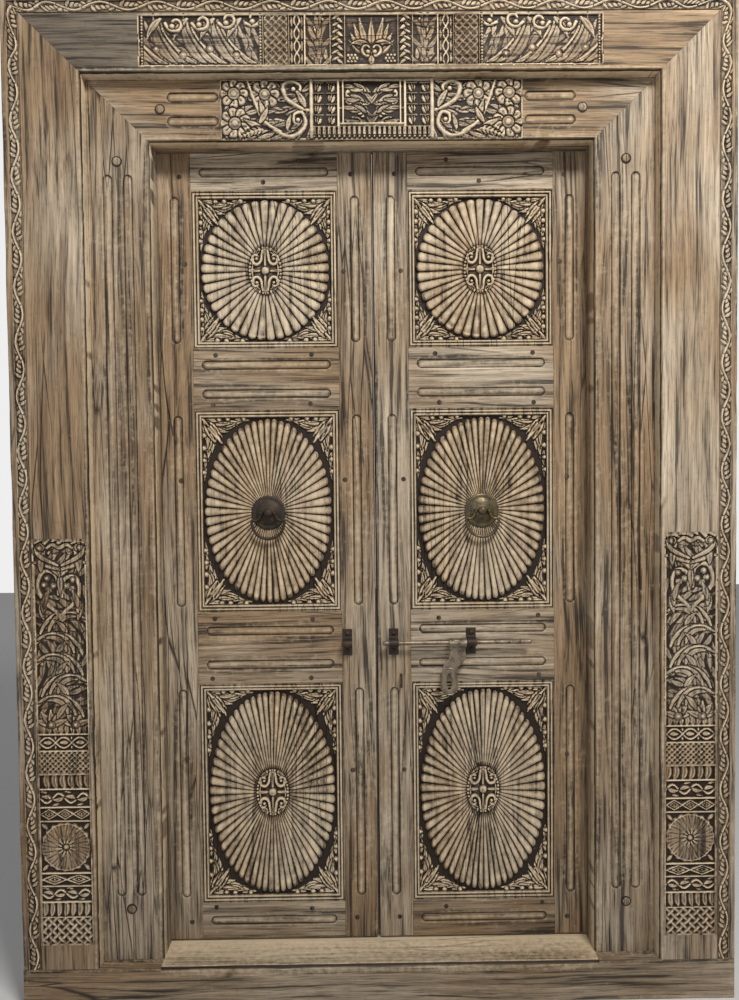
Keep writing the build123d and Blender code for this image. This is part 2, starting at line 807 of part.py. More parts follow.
with BuildPart() as leaf_hinges:
    for level in hinge_levels:
        hinge_half(-1, level + knuckle_gap)
        with BuildSketch(Plane.XY.offset(level)) as bore:
            with Locations((hinge_x, hinge_y)):
                RegularPolygon(hinge_pin_radius / cos(pi / hinge_pin_sides) + pin_running_gap,
                               hinge_pin_sides, major_radius=False)
        extrude(bore.sketch, amount=knuckle_length + 2 * knuckle_gap, mode=Mode.SUBTRACT)
save_pair(leaf_hinges, "hinge_leaf_halves")

# Ring pulls

ring_y = ray_top_y - ring_axis_rise
eye_near = pull_boss_radius - eye_root
eye_far = pull_boss_radius + eye_thickness

with BuildPart() as pull_plate:
    prism(front(ray_top_y), (panel_middle, pull_level), pull_plate_radius, pull_plate_sides,
          pull_plate_edge)
    dome = [spoke(panel_middle, pull_level, pull_dome_radius, pull_dome_radius, i / pull_dome_sides)
            for i in range(pull_dome_sides)]
    carve([dome], ray_top_y - pull_plate_edge, -pull_dome_height)
    prism(front(ray_top_y), (panel_middle, pull_level), pull_boss_radius, pull_dome_sides,
          pull_boss_height)
    prism(Plane.YZ.offset(panel_middle - eye_far), (ring_y, pull_level), eye_radius, eye_sides,
          2 * eye_far)
    for start in (panel_middle - eye_far, panel_middle + eye_near):
        with BuildSketch(Plane.YZ.offset(start)) as bore:
            with Locations((ring_y, pull_level)):
                RegularPolygon(ring_pin_radius / cos(pi / eye_sides) + ring_pin_gap, eye_sides,
                               major_radius=False)
        extrude(bore.sketch, amount=eye_far - eye_near, mode=Mode.SUBTRACT)
save_pair(pull_plate, "pull_plate")


def ring_path():
    """One bail from eye to eye: out, down to a pointed shoulder and round in a bow."""
    side = [(eye_far + eye_side_gap, 0), (ring_neck, 0), (ring_neck, -ring_shoulder_drop)]
    bow_top = -ring_shoulder_drop
    bow_rz = ring_drop - ring_shoulder_drop
    bow = [(ring_half_width * cos(pi * i / ring_bow_runs), bow_top - bow_rz * sin(pi * i / ring_bow_runs))
           for i in range(ring_bow_runs + 1)]
    path = side + bow + [(-x, z) for x, z in reversed(side)]
    return [(panel_middle + x, ring_y, pull_level + z) for x, z in path]


with BuildPart() as pull_ring:
    with BuildLine():
        Polyline(*ring_path())
    with BuildSketch(Plane.YZ.offset(panel_middle + eye_far + eye_side_gap)):
        with Locations((ring_y, pull_level)):
            RegularPolygon(ring_wire, ring_wire_sides)
    sweep(transition=Transition.RIGHT)
    for start in (panel_middle - eye_far - eye_side_gap, panel_middle + eye_near + eye_side_gap):
        prism(Plane.YZ.offset(start), (ring_y, pull_level), ring_pin_radius, eye_sides,
              eye_far - eye_near)
save_pair(pull_ring, "pull_ring")

# Bolt, straps, staple and hasp, with the bolt drawn back until its collar nearly meets the far strap

bolt_y = leaf_face - bolt_rise
bolt_travel = (far_strap_centre - strap_width / 2) - (collar_centre_shot + collar_length / 2) - bolt_stop_gap
rod_tip = shot_tip + bolt_travel
collar_start = collar_centre_shot - collar_length / 2 + bolt_travel
collar_end = collar_start + collar_length
eye_x = collar_centre_shot + bolt_travel - hasp_shift
eye_z = bolt_level - hasp_eye_drop
strap_inside = bolt_radius / cos(pi / bolt_sides) + strap_room
strap_outside = strap_inside + strap_thickness
foot_middle = strap_outside + strap_foot / 2


def strap(x):
    """A strap bent up over the bolt, with a foot above and below."""
    foot = strap_outside + strap_foot
    face, crown = leaf_face - strap_thickness, bolt_y - strap_inside
    half = ((leaf_face, foot), (face, foot), (face, strap_outside), (crown - strap_thickness, strap_outside))
    inside = ((crown, -strap_inside), (leaf_face, -strap_inside))
    points = [*half, *[(y, -z) for y, z in reversed(half)], *[(y, z) for y, z in reversed(inside)],
              *[(y, -z) for y, z in inside]]
    with BuildSketch(Plane.YZ.offset(x - strap_width / 2)) as side:
        polygon([(y, bolt_level + z) for y, z in points])
    extrude(side.sketch, amount=strap_width)


def nail_pair(x):
    """The two nails that hold a strap's feet."""
    for z in (bolt_level - foot_middle, bolt_level + foot_middle):
        prism(front(leaf_face - strap_thickness), (x, z), nail_radius, nail_sides, nail_height)


with BuildPart() as bolt_keeper:
    strap(keeper_centre)
save(bolt_keeper, "bolt_keeper")

with BuildPart() as keeper_nails:
    nail_pair(keeper_centre)
save(keeper_nails, "keeper_nails")

with BuildPart() as bolt_straps:
    strap(near_strap_centre)
    strap(far_strap_centre)
save(bolt_straps, "bolt_straps")

with BuildPart() as strap_nails:
    nail_pair(near_strap_centre)
    nail_pair(far_strap_centre)
save(strap_nails, "strap_nails")

with BuildPart() as hasp_staple:
    crown = bolt_y + hasp_plate / 2 + staple_clear
    with BuildSketch(Plane.YZ.offset(collar_centre_shot - hasp_shift - staple_bar / 2)):
        with Locations(((crown + leaf_face) / 2, eye_z)):
            Rectangle(leaf_face - crown, 2 * staple_half_height)
        with Locations(((crown + staple_bar + leaf_face) / 2, eye_z)):
            Rectangle(leaf_face - crown - staple_bar, 2 * (staple_half_height - staple_bar),
                      mode=Mode.SUBTRACT)
    extrude(amount=staple_bar)
save(hasp_staple, "hasp_staple")

with BuildPart() as bolt_rod:
    neck_start, neck_end = collar_start - collar_end_gap, collar_end + collar_end_gap
    for start, end, radius in ((rod_tip, neck_start, bolt_radius), (neck_start, neck_end, neck_radius),
                               (neck_end, rod_tip + bolt_length, bolt_radius)):
        prism(Plane.YZ.offset(start), (bolt_y, bolt_level), radius, bolt_sides, end - start)
save(bolt_rod, "bolt_rod")

with BuildPart() as hasp:
    prism(Plane.YZ.offset(collar_start), (bolt_y, bolt_level), collar_radius, collar_sides, collar_length)
    with BuildSketch(front(bolt_y + hasp_plate / 2)) as plate:
        neck_left, neck_right = eye_x - hasp_neck_width / 2, eye_x + hasp_neck_width / 2
        polygon(((collar_start, bolt_level), (collar_end, bolt_level),
                 (collar_end, bolt_level - hasp_shoulder_drop), (neck_right, eye_z), (neck_left, eye_z),
                 (collar_start, bolt_level - hasp_shoulder_drop)))
        with Locations((eye_x, eye_z)):
            eye = Rectangle(hasp_eye_width, hasp_eye_height)
        chamfer(eye.vertices(), hasp_eye_corner)
        with Locations((eye_x, eye_z)):
            Rectangle(hasp_slot_width, hasp_slot_height, mode=Mode.SUBTRACT)
    extrude(plate.sketch, amount=hasp_plate)
    with BuildSketch(Plane.YZ.offset(collar_start)) as bore:
        with Locations((bolt_y, bolt_level)):
            RegularPolygon(neck_radius / cos(pi / bolt_sides) + neck_gap, bolt_sides, major_radius=False)
    extrude(bore.sketch, amount=collar_length, mode=Mode.SUBTRACT)
save(hasp, "hasp")
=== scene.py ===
from math import cos, pi, radians, sin

import bpy
import numpy as np
from bpy.props import FloatProperty, FloatVectorProperty, PointerProperty
from mathutils import Matrix, Vector


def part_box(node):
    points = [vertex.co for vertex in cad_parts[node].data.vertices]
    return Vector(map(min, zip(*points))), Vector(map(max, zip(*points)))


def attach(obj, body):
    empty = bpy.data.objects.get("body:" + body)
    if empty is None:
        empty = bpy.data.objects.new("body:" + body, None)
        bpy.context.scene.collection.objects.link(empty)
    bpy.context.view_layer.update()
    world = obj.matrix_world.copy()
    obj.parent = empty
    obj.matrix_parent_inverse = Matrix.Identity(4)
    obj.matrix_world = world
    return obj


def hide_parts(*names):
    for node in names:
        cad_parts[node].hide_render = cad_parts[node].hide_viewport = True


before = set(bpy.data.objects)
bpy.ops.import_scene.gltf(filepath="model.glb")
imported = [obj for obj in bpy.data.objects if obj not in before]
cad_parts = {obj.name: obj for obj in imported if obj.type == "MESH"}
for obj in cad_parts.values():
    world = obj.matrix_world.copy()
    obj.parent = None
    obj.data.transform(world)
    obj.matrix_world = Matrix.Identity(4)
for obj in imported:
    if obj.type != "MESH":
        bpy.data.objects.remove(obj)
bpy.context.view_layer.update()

bl_info = {
    "name": "Carved temple door",
    "version": (1, 0, 0),
    "blender": (4, 5, 0),
    "location": "View3D > Sidebar > Door",
    "description": "Dresses a carved double door and its frame in aged teak, iron and brass",
    "category": "Add Mesh",
}

# Shapes are worked out in millimetres: X to the right, Z up, and depth along Y into the wall
MM = 0.001
SIDES = (-1, 1)
# A limit that no board reaches
BEYOND = 5000


def box(node):
    """The lowest and the highest corner of a CAD node."""
    low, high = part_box(node)
    return np.array(low) / MM, np.array(high) / MM


# Places read from the frame
jamb_low, jamb_high = box("right_outer_jamb")
lintel_low, lintel_high = box("outer_lintel")
inner_low = box("right_inner_jamb")[0]
head_low = box("inner_lintel")[0]
OUTER_X, OUTER_Z = jamb_high[0], lintel_high[2]
REVEAL_X, REVEAL_Z = jamb_low[0], lintel_low[2]
OPENING_X, OPENING_Z = inner_low[0], head_low[2]
FRAME_BACK = jamb_high[1]
INNER_FACE = inner_low[1]
SILL_TOP = box("sill")[1][2]
stile_low, stile_high = box("right_meeting_stile")
LEAF_FACE, LEAF_BACK = stile_low[1], stile_high[1]
LEAF_LOW, LEAF_HIGH = stile_low[2], stile_high[2]
MOULDING = 16
STILE_NEAR, PANEL_NEAR = stile_low[0], stile_high[0] - MOULDING
far_low, far_high = box("right_hinge_stile")
PANEL_FAR, STILE_FAR = far_low[0] + MOULDING, far_high[0]
PANEL_MIDDLE = (PANEL_NEAR + PANEL_FAR) / 2
REBATE_FACE = LEAF_FACE - 0.5
REBATE = 12

# The vine border: a plain fillet, the carved strip, and a line cut beside it
BORDER_FILLET = 14
BORDER_WIDTH = 27
BORDER_X = OUTER_X - BORDER_FILLET - BORDER_WIDTH
BORDER_Z = OUTER_Z - BORDER_FILLET - BORDER_WIDTH

# Carved zones of the frame
CARVE_NEAR = REVEAL_X + 12
CARVE_FAR = BORDER_X - 6
BAND_LEVELS = (160, 226, 263, 302, 333, 460, 493, 537, 573, 629, 670)
PLANT_TOP = 1135
LINTEL_CARVE_LOW = REVEAL_Z + 14
LINTEL_CARVE_HIGH = BORDER_Z - 7
LINTEL_EDGES = (62, 96, 155, 192, 252, 540)
BLOCK_HALF = 359
BLOCK_LOW, BLOCK_HIGH = OPENING_Z + 2, REVEAL_Z - 2
BLOCK_PANELS = (79, 143, 359)
BLOCK_FRINGE = 28
BLOCK_ROOT = 4


def srgb(red, green, blue):
    """A linear colour from its 0 to 255 display values."""
    share = np.array((red, green, blue)) / 255
    linear = np.where(share <= 0.04045, share / 12.92, ((share + 0.055) / 1.055) ** 2.4)
    return tuple(float(v) for v in linear)


class DoorColours(bpy.types.PropertyGroup):
    """The colours a user would change."""

    wood: FloatVectorProperty(name="Wood", description="Main colour of the aged teak", subtype="COLOR",
                              default=srgb(180, 152, 119))
    weathered: FloatVectorProperty(name="Weathered", description="Greyer, paler patches", subtype="COLOR",
                                   default=srgb(220, 202, 176))
    warm: FloatVectorProperty(name="Warm", description="Browner streaks of the grain", subtype="COLOR",
                              default=srgb(102, 75, 49))
    # Stands for old soiling and painted shade in the cuts, and for the dark of the cracks
    grime_and_shade: FloatVectorProperty(name="Grime", description="Old dirt in the cuts", subtype="COLOR",
                               default=srgb(36, 25, 16))
    # Stands for wood rubbed pale on the ridges and for a painted highlight there
    rubbed_wood_and_highlight: FloatVectorProperty(name="Rubbed wood", description="Wood rubbed bright on the ridges",
                               subtype="COLOR", default=srgb(240, 219, 184))
    iron: FloatVectorProperty(name="Iron", description="Dark pitted iron", subtype="COLOR",
                              default=srgb(58, 51, 45))
    rust: FloatVectorProperty(name="Rust", description="Brown rust on the iron", subtype="COLOR",
                              default=srgb(84, 58, 38))
    worn_iron: FloatVectorProperty(name="Worn iron", description="Iron rubbed bright by hands",
                                   subtype="COLOR", default=srgb(136, 122, 104))
    brass: FloatVectorProperty(name="Brass", description="Aged brass", subtype="COLOR",
                               default=srgb(104, 92, 64))


class DoorCarving(bpy.types.PropertyGroup):
    """The sizes of the carving a user would change."""

    depth: FloatProperty(name="Depth", description="How deep the ground of the carving lies",
                         default=5.5 * MM, unit="LENGTH")
    cell: FloatProperty(name="Cell", description="Width of a cell of the carved meshes",
                        default=2.0 * MM, unit="LENGTH")
    flute: FloatProperty(name="Flute width", description="Width of the stopped flutes",
                         default=24.5 * MM, unit="LENGTH")
    flute_depth: FloatProperty(name="Flute depth", description="Depth of the stopped flutes",
                               default=4 * MM, unit="LENGTH")


def colour(name):
    return (*getattr(bpy.context.scene.door_colours, name), 1)


def size(name):
    return getattr(bpy.context.scene.door_carving, name) / MM


# Shader groups


def join(tree, source, output, target, socket):
    tree.links.new(source.outputs[output], target.inputs[socket])


def node(tree, kind, **inputs):
    """A new node with the values of its inputs, given by their names with _ for a space."""
    made = tree.nodes.new(kind)
    for name, value in inputs.items():
        made.inputs[name.replace("_", " ")].default_value = value
    return made


def ramp(tree, source, output, stops):
    """A colour ramp fed by a value, with stops of place and grey."""
    made = tree.nodes.new("ShaderNodeValToRGB")
    elements = made.color_ramp.elements
    elements[0].position, elements[1].position = stops[0][0], stops[-1][0]
    elements[0].color, elements[1].color = (*[stops[0][1]] * 3, 1), (*[stops[-1][1]] * 3, 1)
    for place, grey in stops[1:-1]:
        elements.new(place).color = (grey, grey, grey, 1)
    join(tree, source, output, made, "Fac")
    return made


def mix(tree, fac, first, second, blend="MIX"):
    """Mixes two colours; each of the three is a value or a (node, output) pair."""
    made = tree.nodes.new("ShaderNodeMix")
    made.data_type, made.blend_type = "RGBA", blend
    for socket, given in ((made.inputs[0], fac), (made.inputs[6], first), (made.inputs[7], second)):
        if isinstance(given, tuple) and isinstance(given[0], bpy.types.Node):
            tree.links.new(given[0].outputs[given[1]], socket)
        else:
            socket.default_value = given
    return made


def math(tree, operation, first, second=0.5):
    made = tree.nodes.new("ShaderNodeMath")
    made.operation = operation
    for socket, given in zip(made.inputs, (first, second)):
        if isinstance(given, tuple):
            tree.links.new(given[0].outputs[given[1]], socket)
        else:
            socket.default_value = given
    return made


def stretched(tree, source, scale):
    """The place on the piece, stretched along the grain."""
    made = node(tree, "ShaderNodeMapping", Scale=scale)
    join(tree, source, 0, made, "Vector")
    return made


def new_group(name, inputs, outputs):
    tree = bpy.data.node_groups.new(name, "ShaderNodeTree")
    for label, kind, value in inputs:
        socket = tree.interface.new_socket(label, in_out="INPUT", socket_type=kind)
        if value is not None:
            socket.default_value = value
    for label, kind in outputs:
        tree.interface.new_socket(label, in_out="OUTPUT", socket_type=kind)
    return tree, tree.nodes.new("NodeGroupInput"), tree.nodes.new("NodeGroupOutput")


def grain_group():
    """Masks of weathered teak whose grain runs along the third axis of its vector."""
    if "weathered_grain" in bpy.data.node_groups:
        return bpy.data.node_groups["weathered_grain"]
    tree, given, out = new_group("weathered_grain", (("Vector", "NodeSocketVector", None),), (
        ("Streaks", "NodeSocketFloat"), ("Patches", "NodeSocketFloat"), ("Veins", "NodeSocketFloat"),
        ("Fibres", "NodeSocketFloat"), ("Cracks", "NodeSocketFloat")))
    sway = node(tree, "ShaderNodeTexNoise", Scale=5.0, Detail=1.0)
    join(tree, stretched(tree, given, (1, 1, 0.35)), 0, sway, "Vector")
    bent = tree.nodes.new("ShaderNodeVectorMath")
    bent.operation = "MULTIPLY_ADD"
    bent.inputs[1].default_value = (0.035, 0.035, 0.0)
    join(tree, sway, "Color", bent, 0)
    join(tree, given, 0, bent, 2)
    rings = node(tree, "ShaderNodeTexNoise", Scale=26.0, Detail=3.0, Roughness=0.62)
    join(tree, stretched(tree, bent, (1, 1, 0.045)), 0, rings, "Vector")
    streaks = ramp(tree, rings, "Fac", ((0.32, 0.0), (0.47, 0.55), (0.55, 0.35), (0.68, 1.0)))
    join(tree, streaks, "Color", out, "Streaks")
    blotch = node(tree, "ShaderNodeTexNoise", Scale=3.4, Detail=2.0, Roughness=0.55)
    join(tree, stretched(tree, given, (1, 1, 0.5)), 0, blotch, "Vector")
    join(tree, ramp(tree, blotch, "Fac", ((0.42, 0.0), (0.6, 1.0))), "Color", out, "Patches")
    veins = node(tree, "ShaderNodeTexNoise", Scale=88.0, Detail=3.0, Roughness=0.7)
    join(tree, stretched(tree, bent, (1, 1, 0.028)), 0, veins, "Vector")
    join(tree, veins, "Fac", out, "Veins")
    fine = node(tree, "ShaderNodeTexNoise", Scale=420.0, Detail=2.0, Roughness=0.6)
    join(tree, stretched(tree, bent, (1, 1, 0.035)), 0, fine, "Vector")
    join(tree, fine, "Fac", out, "Fibres")
    split = tree.nodes.new("ShaderNodeTexVoronoi")
    split.feature = "DISTANCE_TO_EDGE"
    split.inputs["Scale"].default_value = 42.0
    join(tree, stretched(tree, bent, (1, 1, 0.05)), 0, split, "Vector")
    line = ramp(tree, split, "Distance", ((0.0, 1.0), (0.035, 0.0)))
    where = node(tree, "ShaderNodeTexNoise", Scale=7.0, Detail=1.0)
    join(tree, stretched(tree, given, (1, 1, 0.25)), 0, where, "Vector")
    some = ramp(tree, where, "Fac", ((0.52, 0.0), (0.62, 1.0)))
    join(tree, math(tree, "MULTIPLY", (line, "Color"), (some, "Color")), 0, out, "Cracks")
    return tree


def grime_group():
    """Old soiling and painted shade that lie in the cuts, and rubbed wood with a painted highlight on the
    ridges, from the piece's carved depth.
    """
    if "grime_shade_rub_and_highlight" in bpy.data.node_groups:
        return bpy.data.node_groups["grime_shade_rub_and_highlight"]
    tree, given, out = new_group("grime_shade_rub_and_highlight", (
        ("Color", "NodeSocketColor", None), ("Cut", "NodeSocketFloat", 0.5),
        ("Vector", "NodeSocketVector", None), ("Grime", "NodeSocketColor", None),
        ("Rubbed", "NodeSocketColor", None), ("Grime Amount", "NodeSocketFloat", 1.0),
        ("Rub Amount", "NodeSocketFloat", 0.6)),
        (("Color", "NodeSocketColor"), ("Grime", "NodeSocketFloat")))
    speckle = node(tree, "ShaderNodeTexNoise", Scale=70.0, Detail=3.0, Roughness=0.65)
    join(tree, given, "Vector", speckle, "Vector")
    uneven = math(tree, "MULTIPLY_ADD", (speckle, "Fac"), 0.35)
    join(tree, given, "Cut", uneven, 2)
    # Deep places take soiling and painted shade, and ridges take rubbed wood and a painted highlight
    deep = ramp(tree, uneven, 0, ((0.7, 0.0), (0.84, 0.42), (1.0, 0.97)))
    ridge = ramp(tree, uneven, 0, ((0.4, 1.0), (0.63, 0.0)))
    grime_and_shade = math(tree, "MULTIPLY", (deep, "Color"))
    join(tree, given, "Grime Amount", grime_and_shade, 1)
    rub_and_highlight = math(tree, "MULTIPLY", (ridge, "Color"))
    join(tree, given, "Rub Amount", rub_and_highlight, 1)
    rubbed = mix(tree, (rub_and_highlight, 0), (given, "Color"), (given, "Rubbed"))
    soiled_and_painted_light = mix(tree, (grime_and_shade, 0), (rubbed, 2), (given, "Grime"))
    join(tree, soiled_and_painted_light, 2, out, "Color")
    join(tree, grime_and_shade, 0, out, "Grime")
    return tree


def place_group(tree, group, **links):
    made = tree.nodes.new("ShaderNodeGroup")
    made.node_tree = group
    for name, value in links.items():
        socket = made.inputs[name.replace("_", " ")]
        if isinstance(value, tuple) and isinstance(value[0], bpy.types.Node):
            tree.links.new(value[0].outputs[value[1]], socket)
        else:
            socket.default_value = value
    return made


def new_material(name):
    made = bpy.data.materials.new(name)
    made.use_nodes = True
    return made, made.node_tree, made.node_tree.nodes["Principled BSDF"]


def wood(name, along="Z", grime_and_shade=1.0, rub_and_highlight=0.7, warmth=0.0, seed=0.0, shade=1.0, painted_left_shade=None):
    """Aged teak whose grain runs along X or Z of the piece."""
    if name in bpy.data.materials:
        return bpy.data.materials[name]
    made, tree, shader = new_material(name)
    place = tree.nodes.new("ShaderNodeTexCoord")
    board = tree.nodes.new("ShaderNodeAttribute")
    board.attribute_name = "board"
    turn = node(tree, "ShaderNodeMapping", Location=(seed, seed * 2, seed * 3),
                Rotation=(0, radians(90) if along == "X" else 0, 0))
    join(tree, place, "Object", turn, "Vector")
    shift = tree.nodes.new("ShaderNodeVectorMath")
    shift.operation = "MULTIPLY_ADD"
    shift.inputs[1].default_value = (7.3, 3.1, 5.7)
    join(tree, board, "Fac", shift, 0)
    join(tree, turn, 0, shift, 2)
    grain = place_group(tree, grain_group(), Vector=(shift, 0))
    base = mix(tree, (grain, "Patches"), colour("wood"), colour("weathered"))
    streak = math(tree, "MULTIPLY", (grain, "Streaks"), 0.7 + warmth)
    browned = mix(tree, (streak, 0), (base, 2), colour("warm"))
    fibre = ramp(tree, grain, "Fibres", ((0.34, 0.42), (0.48, 0.95), (0.66, 1.0)))
    fibrous = mix(tree, 0.8, (browned, 2), (fibre, "Color"), "MULTIPLY")
    vein = ramp(tree, grain, "Veins", ((0.38, 0.16), (0.46, 0.74), (0.56, 1.0), (0.66, 1.22)))
    veined = mix(tree, 1.0, (fibrous, 2), (vein, "Color"), "MULTIPLY")
    cracked = mix(tree, (grain, "Cracks"), (veined, 2), colour("grime_and_shade"))
    split = tree.nodes.new("ShaderNodeSeparateXYZ")
    join(tree, place, "Object", split, 0)
    foot = ramp(tree, split, "Z", ((0.0, 0.72), (0.9, 1.0)))
    # Shade scales the colour: the pegs' own darker wood, and painted light on the right jamb and the outer
    # lintel
    toned = mix(tree, 1.0, (cracked, 2), (shade, shade, shade, 1), "MULTIPLY")
    shaded = mix(tree, 1.0, (toned, 2), (foot, "Color"), "MULTIPLY")
    # Darkens the piece towards its left end: painted shade, as if the light fell from the right
    if painted_left_shade:
        across = math(tree, "MULTIPLY_ADD", (split, "X"), 0.6)
        aged = ramp(tree, across, 0, ((0.1, painted_left_shade), (0.9, 1.0)))
        shaded = mix(tree, 1.0, (shaded, 2), (aged, "Color"), "MULTIPLY")
    # The cut tone lays soiling with painted shade in the cuts, and rubbed wood with a painted highlight on
    # the ridges
    cut = tree.nodes.new("ShaderNodeAttribute")
    cut.attribute_name = "cut"
    dirt_and_painted_light = place_group(tree, grime_group(), Color=(shaded, 2), Cut=(cut, "Fac"), Vector=(place, "Object"),
                       Grime=colour("grime_and_shade"), Rubbed=colour("rubbed_wood_and_highlight"), Grime_Amount=grime_and_shade, Rub_Amount=rub_and_highlight)
    join(tree, dirt_and_painted_light, "Color", shader, "Base Color")
    rough = math(tree, "MULTIPLY_ADD", (grain, "Fibres"), 0.25)
    rough.inputs[2].default_value = 0.55
    join(tree, rough, 0, shader, "Roughness")
    height = math(tree, "MULTIPLY_ADD", (grain, "Cracks"), -1.6)
    join(tree, grain, "Fibres", height, 2)
    depth = math(tree, "MULTIPLY_ADD", (grain, "Streaks"), -0.5)
    join(tree, height, 0, depth, 2)
    bump = node(tree, "ShaderNodeBump", Strength=0.9, Distance=0.0016)
    join(tree, depth, 0, bump, "Height")
    join(tree, bump, 0, shader, "Normal")
    shader.inputs["Specular IOR Level"].default_value = 0.35
    return made


def metal(name, base, spot, amount, roughness, metallic):
    """Old metal with spots of another colour."""
    if name in bpy.data.materials:
        return bpy.data.materials[name]
    made, tree, shader = new_material(name)
    place = tree.nodes.new("ShaderNodeTexCoord")
    cloud = node(tree, "ShaderNodeTexNoise", Scale=65.0, Detail=6.0, Roughness=0.65)
    join(tree, place, "Object", cloud, "Vector")
    pits = node(tree, "ShaderNodeTexNoise", Scale=420.0, Detail=3.0)
    join(tree, place, "Object", pits, "Vector")
    spots = ramp(tree, cloud, "Fac", ((0.62 - amount, 0.0), (0.74 - amount / 2, 1.0)))
    join(tree, mix(tree, (spots, "Color"), base, spot), 2, shader, "Base Color")
    uneven = math(tree, "MULTIPLY_ADD", (cloud, "Fac"), 0.35)
    uneven.inputs[2].default_value = roughness - 0.17
    join(tree, uneven, 0, shader, "Roughness")
    solid = math(tree, "MULTIPLY_ADD", (spots, "Color"), -0.6 * metallic)
    solid.inputs[2].default_value = metallic
    join(tree, solid, 0, shader, "Metallic")
    height = math(tree, "MULTIPLY_ADD", (cloud, "Fac"), 1.5)
    join(tree, pits, "Fac", height, 2)
    bump = node(tree, "ShaderNodeBump", Strength=0.6, Distance=0.0008)
    join(tree, height, 0, bump, "Height")
    join(tree, bump, 0, shader, "Normal")
    return made


def jamb_teak():
    return wood("jamb_teak", "Z", seed=1)


def leaf_teak():
    return wood("leaf_teak_upright", "Z", seed=6)


def iron():
    return metal("pitted_iron", colour("iron"), colour("rust"), 0.12, 0.6, 0.75)


def worn_iron():
    return metal("hand_worn_iron", colour("worn_iron"), colour("iron"), 0.16, 0.46, 0.8)


def brass():
    return metal("aged_brass", colour("brass"), colour("iron"), 0.2, 0.42, 0.95)


# Carving: places on a face seen from the front, and the height of the wood over that face


def noise(x, z, wide, seed):
    """Smooth noise from -1 to 1 in lumps about so wide."""
    u, v = x / wide + seed * 17.3, z / wide - seed * 9.1
    i, j = np.floor(u), np.floor(v)
    a, b = u - i, v - j
    a, b = a * a * (3 - 2 * a), b * b * (3 - 2 * b)

    def corner(p, q):
        return 2 * np.mod(np.sin(p * 127.1 + q * 311.7 + seed * 74.7) * 43758.5, 1.0) - 1

    low = corner(i, j) * (1 - a) + corner(i + 1, j) * a
    high = corner(i, j + 1) * (1 - a) + corner(i + 1, j + 1) * a
    return low * (1 - b) + high * b


def arc(x, z, length, angle, bend=0.0, wind=1.0, steps=9):
    """Points along a line that starts at x, z at an angle, and turns by bend over its length."""
    t = (np.arange(steps) + 0.5) / steps
    heading = np.radians(angle + bend * t ** wind)
    run = length / steps
    return np.stack([x + np.concatenate([[0], np.cumsum(np.cos(heading) * run)]),
                     z + np.concatenate([[0], np.cumsum(np.sin(heading) * run)])], 1)


# Heights of what is carved and of the ground round it, the cut that parts leaves that overlap, and
# how square a leaf's section is
TOP, GROUND = -0.5, -5.5
MOAT = 1.7
LEAF_POWER = 2.6


